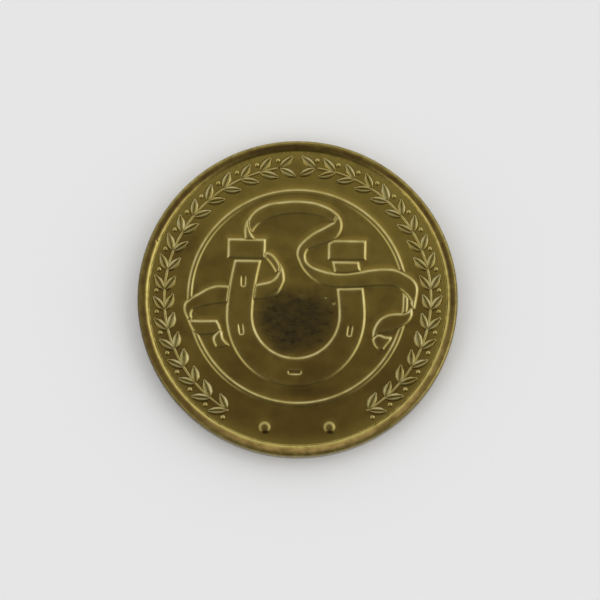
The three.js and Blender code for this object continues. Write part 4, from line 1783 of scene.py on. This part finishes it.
    def flat_colour(self, tree: Tree, place: Socket) -> Socket:
        """Works out the colour of the flats: olive above, browner and darker below, partly toning and
        partly painted shade, cloudy and stained.

        Args:
            tree: The material's tree.
            place: The place on the token in mm.

        Returns:
            The colour.
        """
        ways = [place, self.shade_and_browning_heading]
        heading = add_node(tree, VECTOR_MATH, ways, "Value", operation="DOT_PRODUCT")
        half = self.shade_and_browning_run / 2.0
        shade_and_browning = add_node(tree, RANGE, [heading, -half, half], clamp=False)
        for pattern, weight in ((self.clouds, self.cloud_weight), (self.mottles, self.mottle_weight)):
            noise = pattern.noise(tree, place)
            shade_and_browning = add_node(tree, MATH, [noise, weight, shade_and_browning], operation="MULTIPLY_ADD")
        stains = self.stains.noise(tree, place)
        shade_and_browning, stained = (
            add_node(tree, RANGE, spread, interpolation_type="SMOOTHSTEP")
            for spread in (
                [shade_and_browning, *self.shade_and_browning_spread], [stains, *self.stains.spread, 0.0, self.stain_share],
            )
        )
        return layered(tree, self.olive, [(shade_and_browning, self.brown), (stained, self.grime)])

    def bumps(self, tree: Tree, place: Socket) -> Socket:
        """Draws the metal's fine unevenness: a soft grain, and hairlines in a few directions from handling.

        Args:
            tree: The material's tree.
            place: The place on the token in mm.

        Returns:
            The normal.
        """
        grain = {"Height": self.grain.noise(tree, place), "Distance": self.grain_depth * MM}
        normal = add_node(tree, "ShaderNodeBump", {**grain, "Strength": 1.0})
        for degrees in self.hairline_turns_degrees:
            lines = self.hairlines.share(tree, place, 1.0, 0.0, math.radians(degrees))
            bump = {"Height": lines, "Distance": self.hairline_depth * MM, "Normal": normal}
            normal = add_node(tree, "ShaderNodeBump", {**bump, "Strength": 1.0})
        return normal


@dataclass(frozen=True)
class MattePaper:
    """Matt white paper board, the pale sheet that the token lies on. It has no gloss."""

    name: str = "matte_paper"
    colour: str = "#e8e8e8"
    roughness: float = 0.9

    def material(self) -> bpy.types.Material:
        """Makes the material.

        Returns:
            The material.
        """
        paper = bpy.data.materials.new(self.name)
        paper.use_nodes = True
        inputs = paper.node_tree.nodes["Principled BSDF"].inputs
        inputs["Base Color"].default_value = linear_from_hex(self.colour)
        inputs["Roughness"].default_value = self.roughness
        inputs["Specular IOR Level"].default_value = 0.0
        return paper


@dataclass
class Studio:
    """The pale floor, the soft light and the camera."""

    floor_half_width: float = 6000.0
    camera_elevation_degrees: float = 80.5
    lens: float = 200.0
    sensor_width: float = 36.0
    picture_width: float = 600.0
    picture_millimetres: float = 47.5
    clip_factor: float = 100.0
    token_centre_pixel: Pair = (297.6, 297.25)
    backdrop_level: float = 0.78
    zenith_level: float = 0.57
    brightest_level: float = 2.1
    levels_by_degrees: Run = (
        (-180.0, 0.55), (-165.0, 0.7), (-152.0, 0.92), (-142.0, 0.85), (-132.0, 0.38), (-118.0, 0.17),
        (-58.0, 0.155), (-46.0, 0.42), (-32.0, 0.74), (0.0, 0.9), (30.0, 0.75), (60.0, 0.58),
        (90.0, 0.53), (130.0, 0.54), (180.0, 0.55),
    )
    side_ceiling: Pair = (0.7, 0.88)
    north_ceiling: Pair = (0.86, 0.97)
    north_ceiling_start: float = 0.8

    def floor(self) -> bpy.types.Object:
        """Lays the floor in the plane that the token rests on.

        Returns:
            The floor.
        """
        half = self.floor_half_width * MM
        corners = [(-half, -half, 0.0), (half, -half, 0.0), (half, half, 0.0), (-half, half, 0.0)]
        mesh = bpy.data.meshes.new("floor")
        mesh.from_pydata(corners, [], [(0, 1, 2, 3)])
        mesh.materials.append(MattePaper().material())
        floor = bpy.data.objects.new("floor", mesh)
        bpy.context.scene.collection.objects.link(floor)
        return floor

    def camera(self, aim: Vector) -> bpy.types.Object:
        """Places the camera so that a point falls on its pixel of the picture.

        Args:
            aim: The middle of the token's upper face, in metres.

        Returns:
            The camera.
        """
        data = bpy.data.cameras.new("camera")
        data.lens, data.sensor_width = self.lens, self.sensor_width
        distance = self.picture_millimetres * self.lens / self.sensor_width * MM
        data.clip_start, data.clip_end = distance / self.clip_factor, distance * self.clip_factor
        elevation = math.radians(self.camera_elevation_degrees)
        back = Vector((0.0, -math.cos(elevation), math.sin(elevation)))
        up = Vector((0.0, math.sin(elevation), math.cos(elevation)))
        pixel = self.picture_millimetres / self.picture_width * MM
        across = (self.picture_width / 2.0 - self.token_centre_pixel[0]) * pixel
        down = (self.picture_width / 2.0 - self.token_centre_pixel[1]) * pixel
        target = aim + Vector((across, 0.0, 0.0)) - up * down
        camera = bpy.data.objects.new("camera", data)
        camera.location = target + back * distance
        camera.rotation_mode = "QUATERNION"
        camera.rotation_quaternion = (-back).to_track_quat("-Z", "Y")
        bpy.context.scene.collection.objects.link(camera)
        bpy.context.scene.camera = camera
        return camera

    def surroundings(self) -> bpy.types.World:
        """Makes the room's light: bright walls to the east, north and west, a dim south and a dim ceiling.

        The ceiling reaches lower on the sides than in the north.

        Returns:
            The world.
        """
        world = bpy.data.worlds.new("room")
        world.use_nodes = True
        tree = world.node_tree
        tree.nodes.clear()
        way = add_node(tree, "ShaderNodeTexCoord", output="Generated")
        east, north, up = add_node(tree, SEPARATE, [way]).node.outputs
        flat = add_node(tree, MAPPING, {"Vector": way, "Scale": (1.0, 1.0, 0.0)})
        compass = add_node(tree, VECTOR_MATH, [flat], operation="NORMALIZE")
        northing = add_node(tree, SEPARATE, [compass], "Y")
        angle = add_node(tree, MATH, [north, east], operation="ARCTAN2")
        share = add_node(tree, RANGE, [angle, -math.pi, math.pi])
        levels = tuple((degrees / 360.0 + 0.5, level) for degrees, level in self.levels_by_degrees)
        wall = bent(add_node(tree, CURVE, {"Value": share}), levels)
        wall = add_node(tree, MATH, [wall, self.brightest_level], operation="MULTIPLY")
        ceiling = [
            add_node(tree, RANGE, [northing, 0.0, self.north_ceiling_start, *heights])
            for heights in zip(self.side_ceiling, self.north_ceiling)
        ]
        room = [up, *ceiling, wall, self.zenith_level]
        level = add_node(tree, RANGE, room, interpolation_type="SMOOTHSTEP")
        seen = add_node(tree, "ShaderNodeLightPath", output="Is Camera Ray")
        level = add_node(tree, RANGE, [seen, 0.0, 1.0, level, self.backdrop_level])
        light = add_node(tree, "ShaderNodeBackground", {"Color": (1.0,) * 4, "Strength": level})
        add_node(tree, "ShaderNodeOutputWorld", {"Surface": light})
        bpy.context.scene.world = world
        return world

    def build(self, aim: Vector) -> None:
        """Sets up the floor, the camera and the light.

        Args:
            aim: The middle of the token's upper face, in metres.
        """
        self.floor()
        self.camera(aim)
        self.surroundings()
        bpy.context.scene.view_settings.view_transform = "Standard"


def main() -> None:
    """Builds the token and the studio round it."""
    logging.basicConfig(level=logging.INFO, format="%(name)s: %(message)s")
    token = TokenMetal()
    brass = AgedBrass().material()
    metal = token.build()
    metal.data.materials.append(brass)
    border = LaurelBorder(token.border_radius, token.obverse_field).build(brass)
    for piece in (metal, border):
        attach(piece, BODY)
        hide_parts(TOKEN_NODE)
        log.info("%s: %d faces", piece.name, len(piece.data.polygons))
    Studio().build(Vector((0.0, 0.0, token.blank.thickness * MM)))


if __name__ == "__main__":
    main()
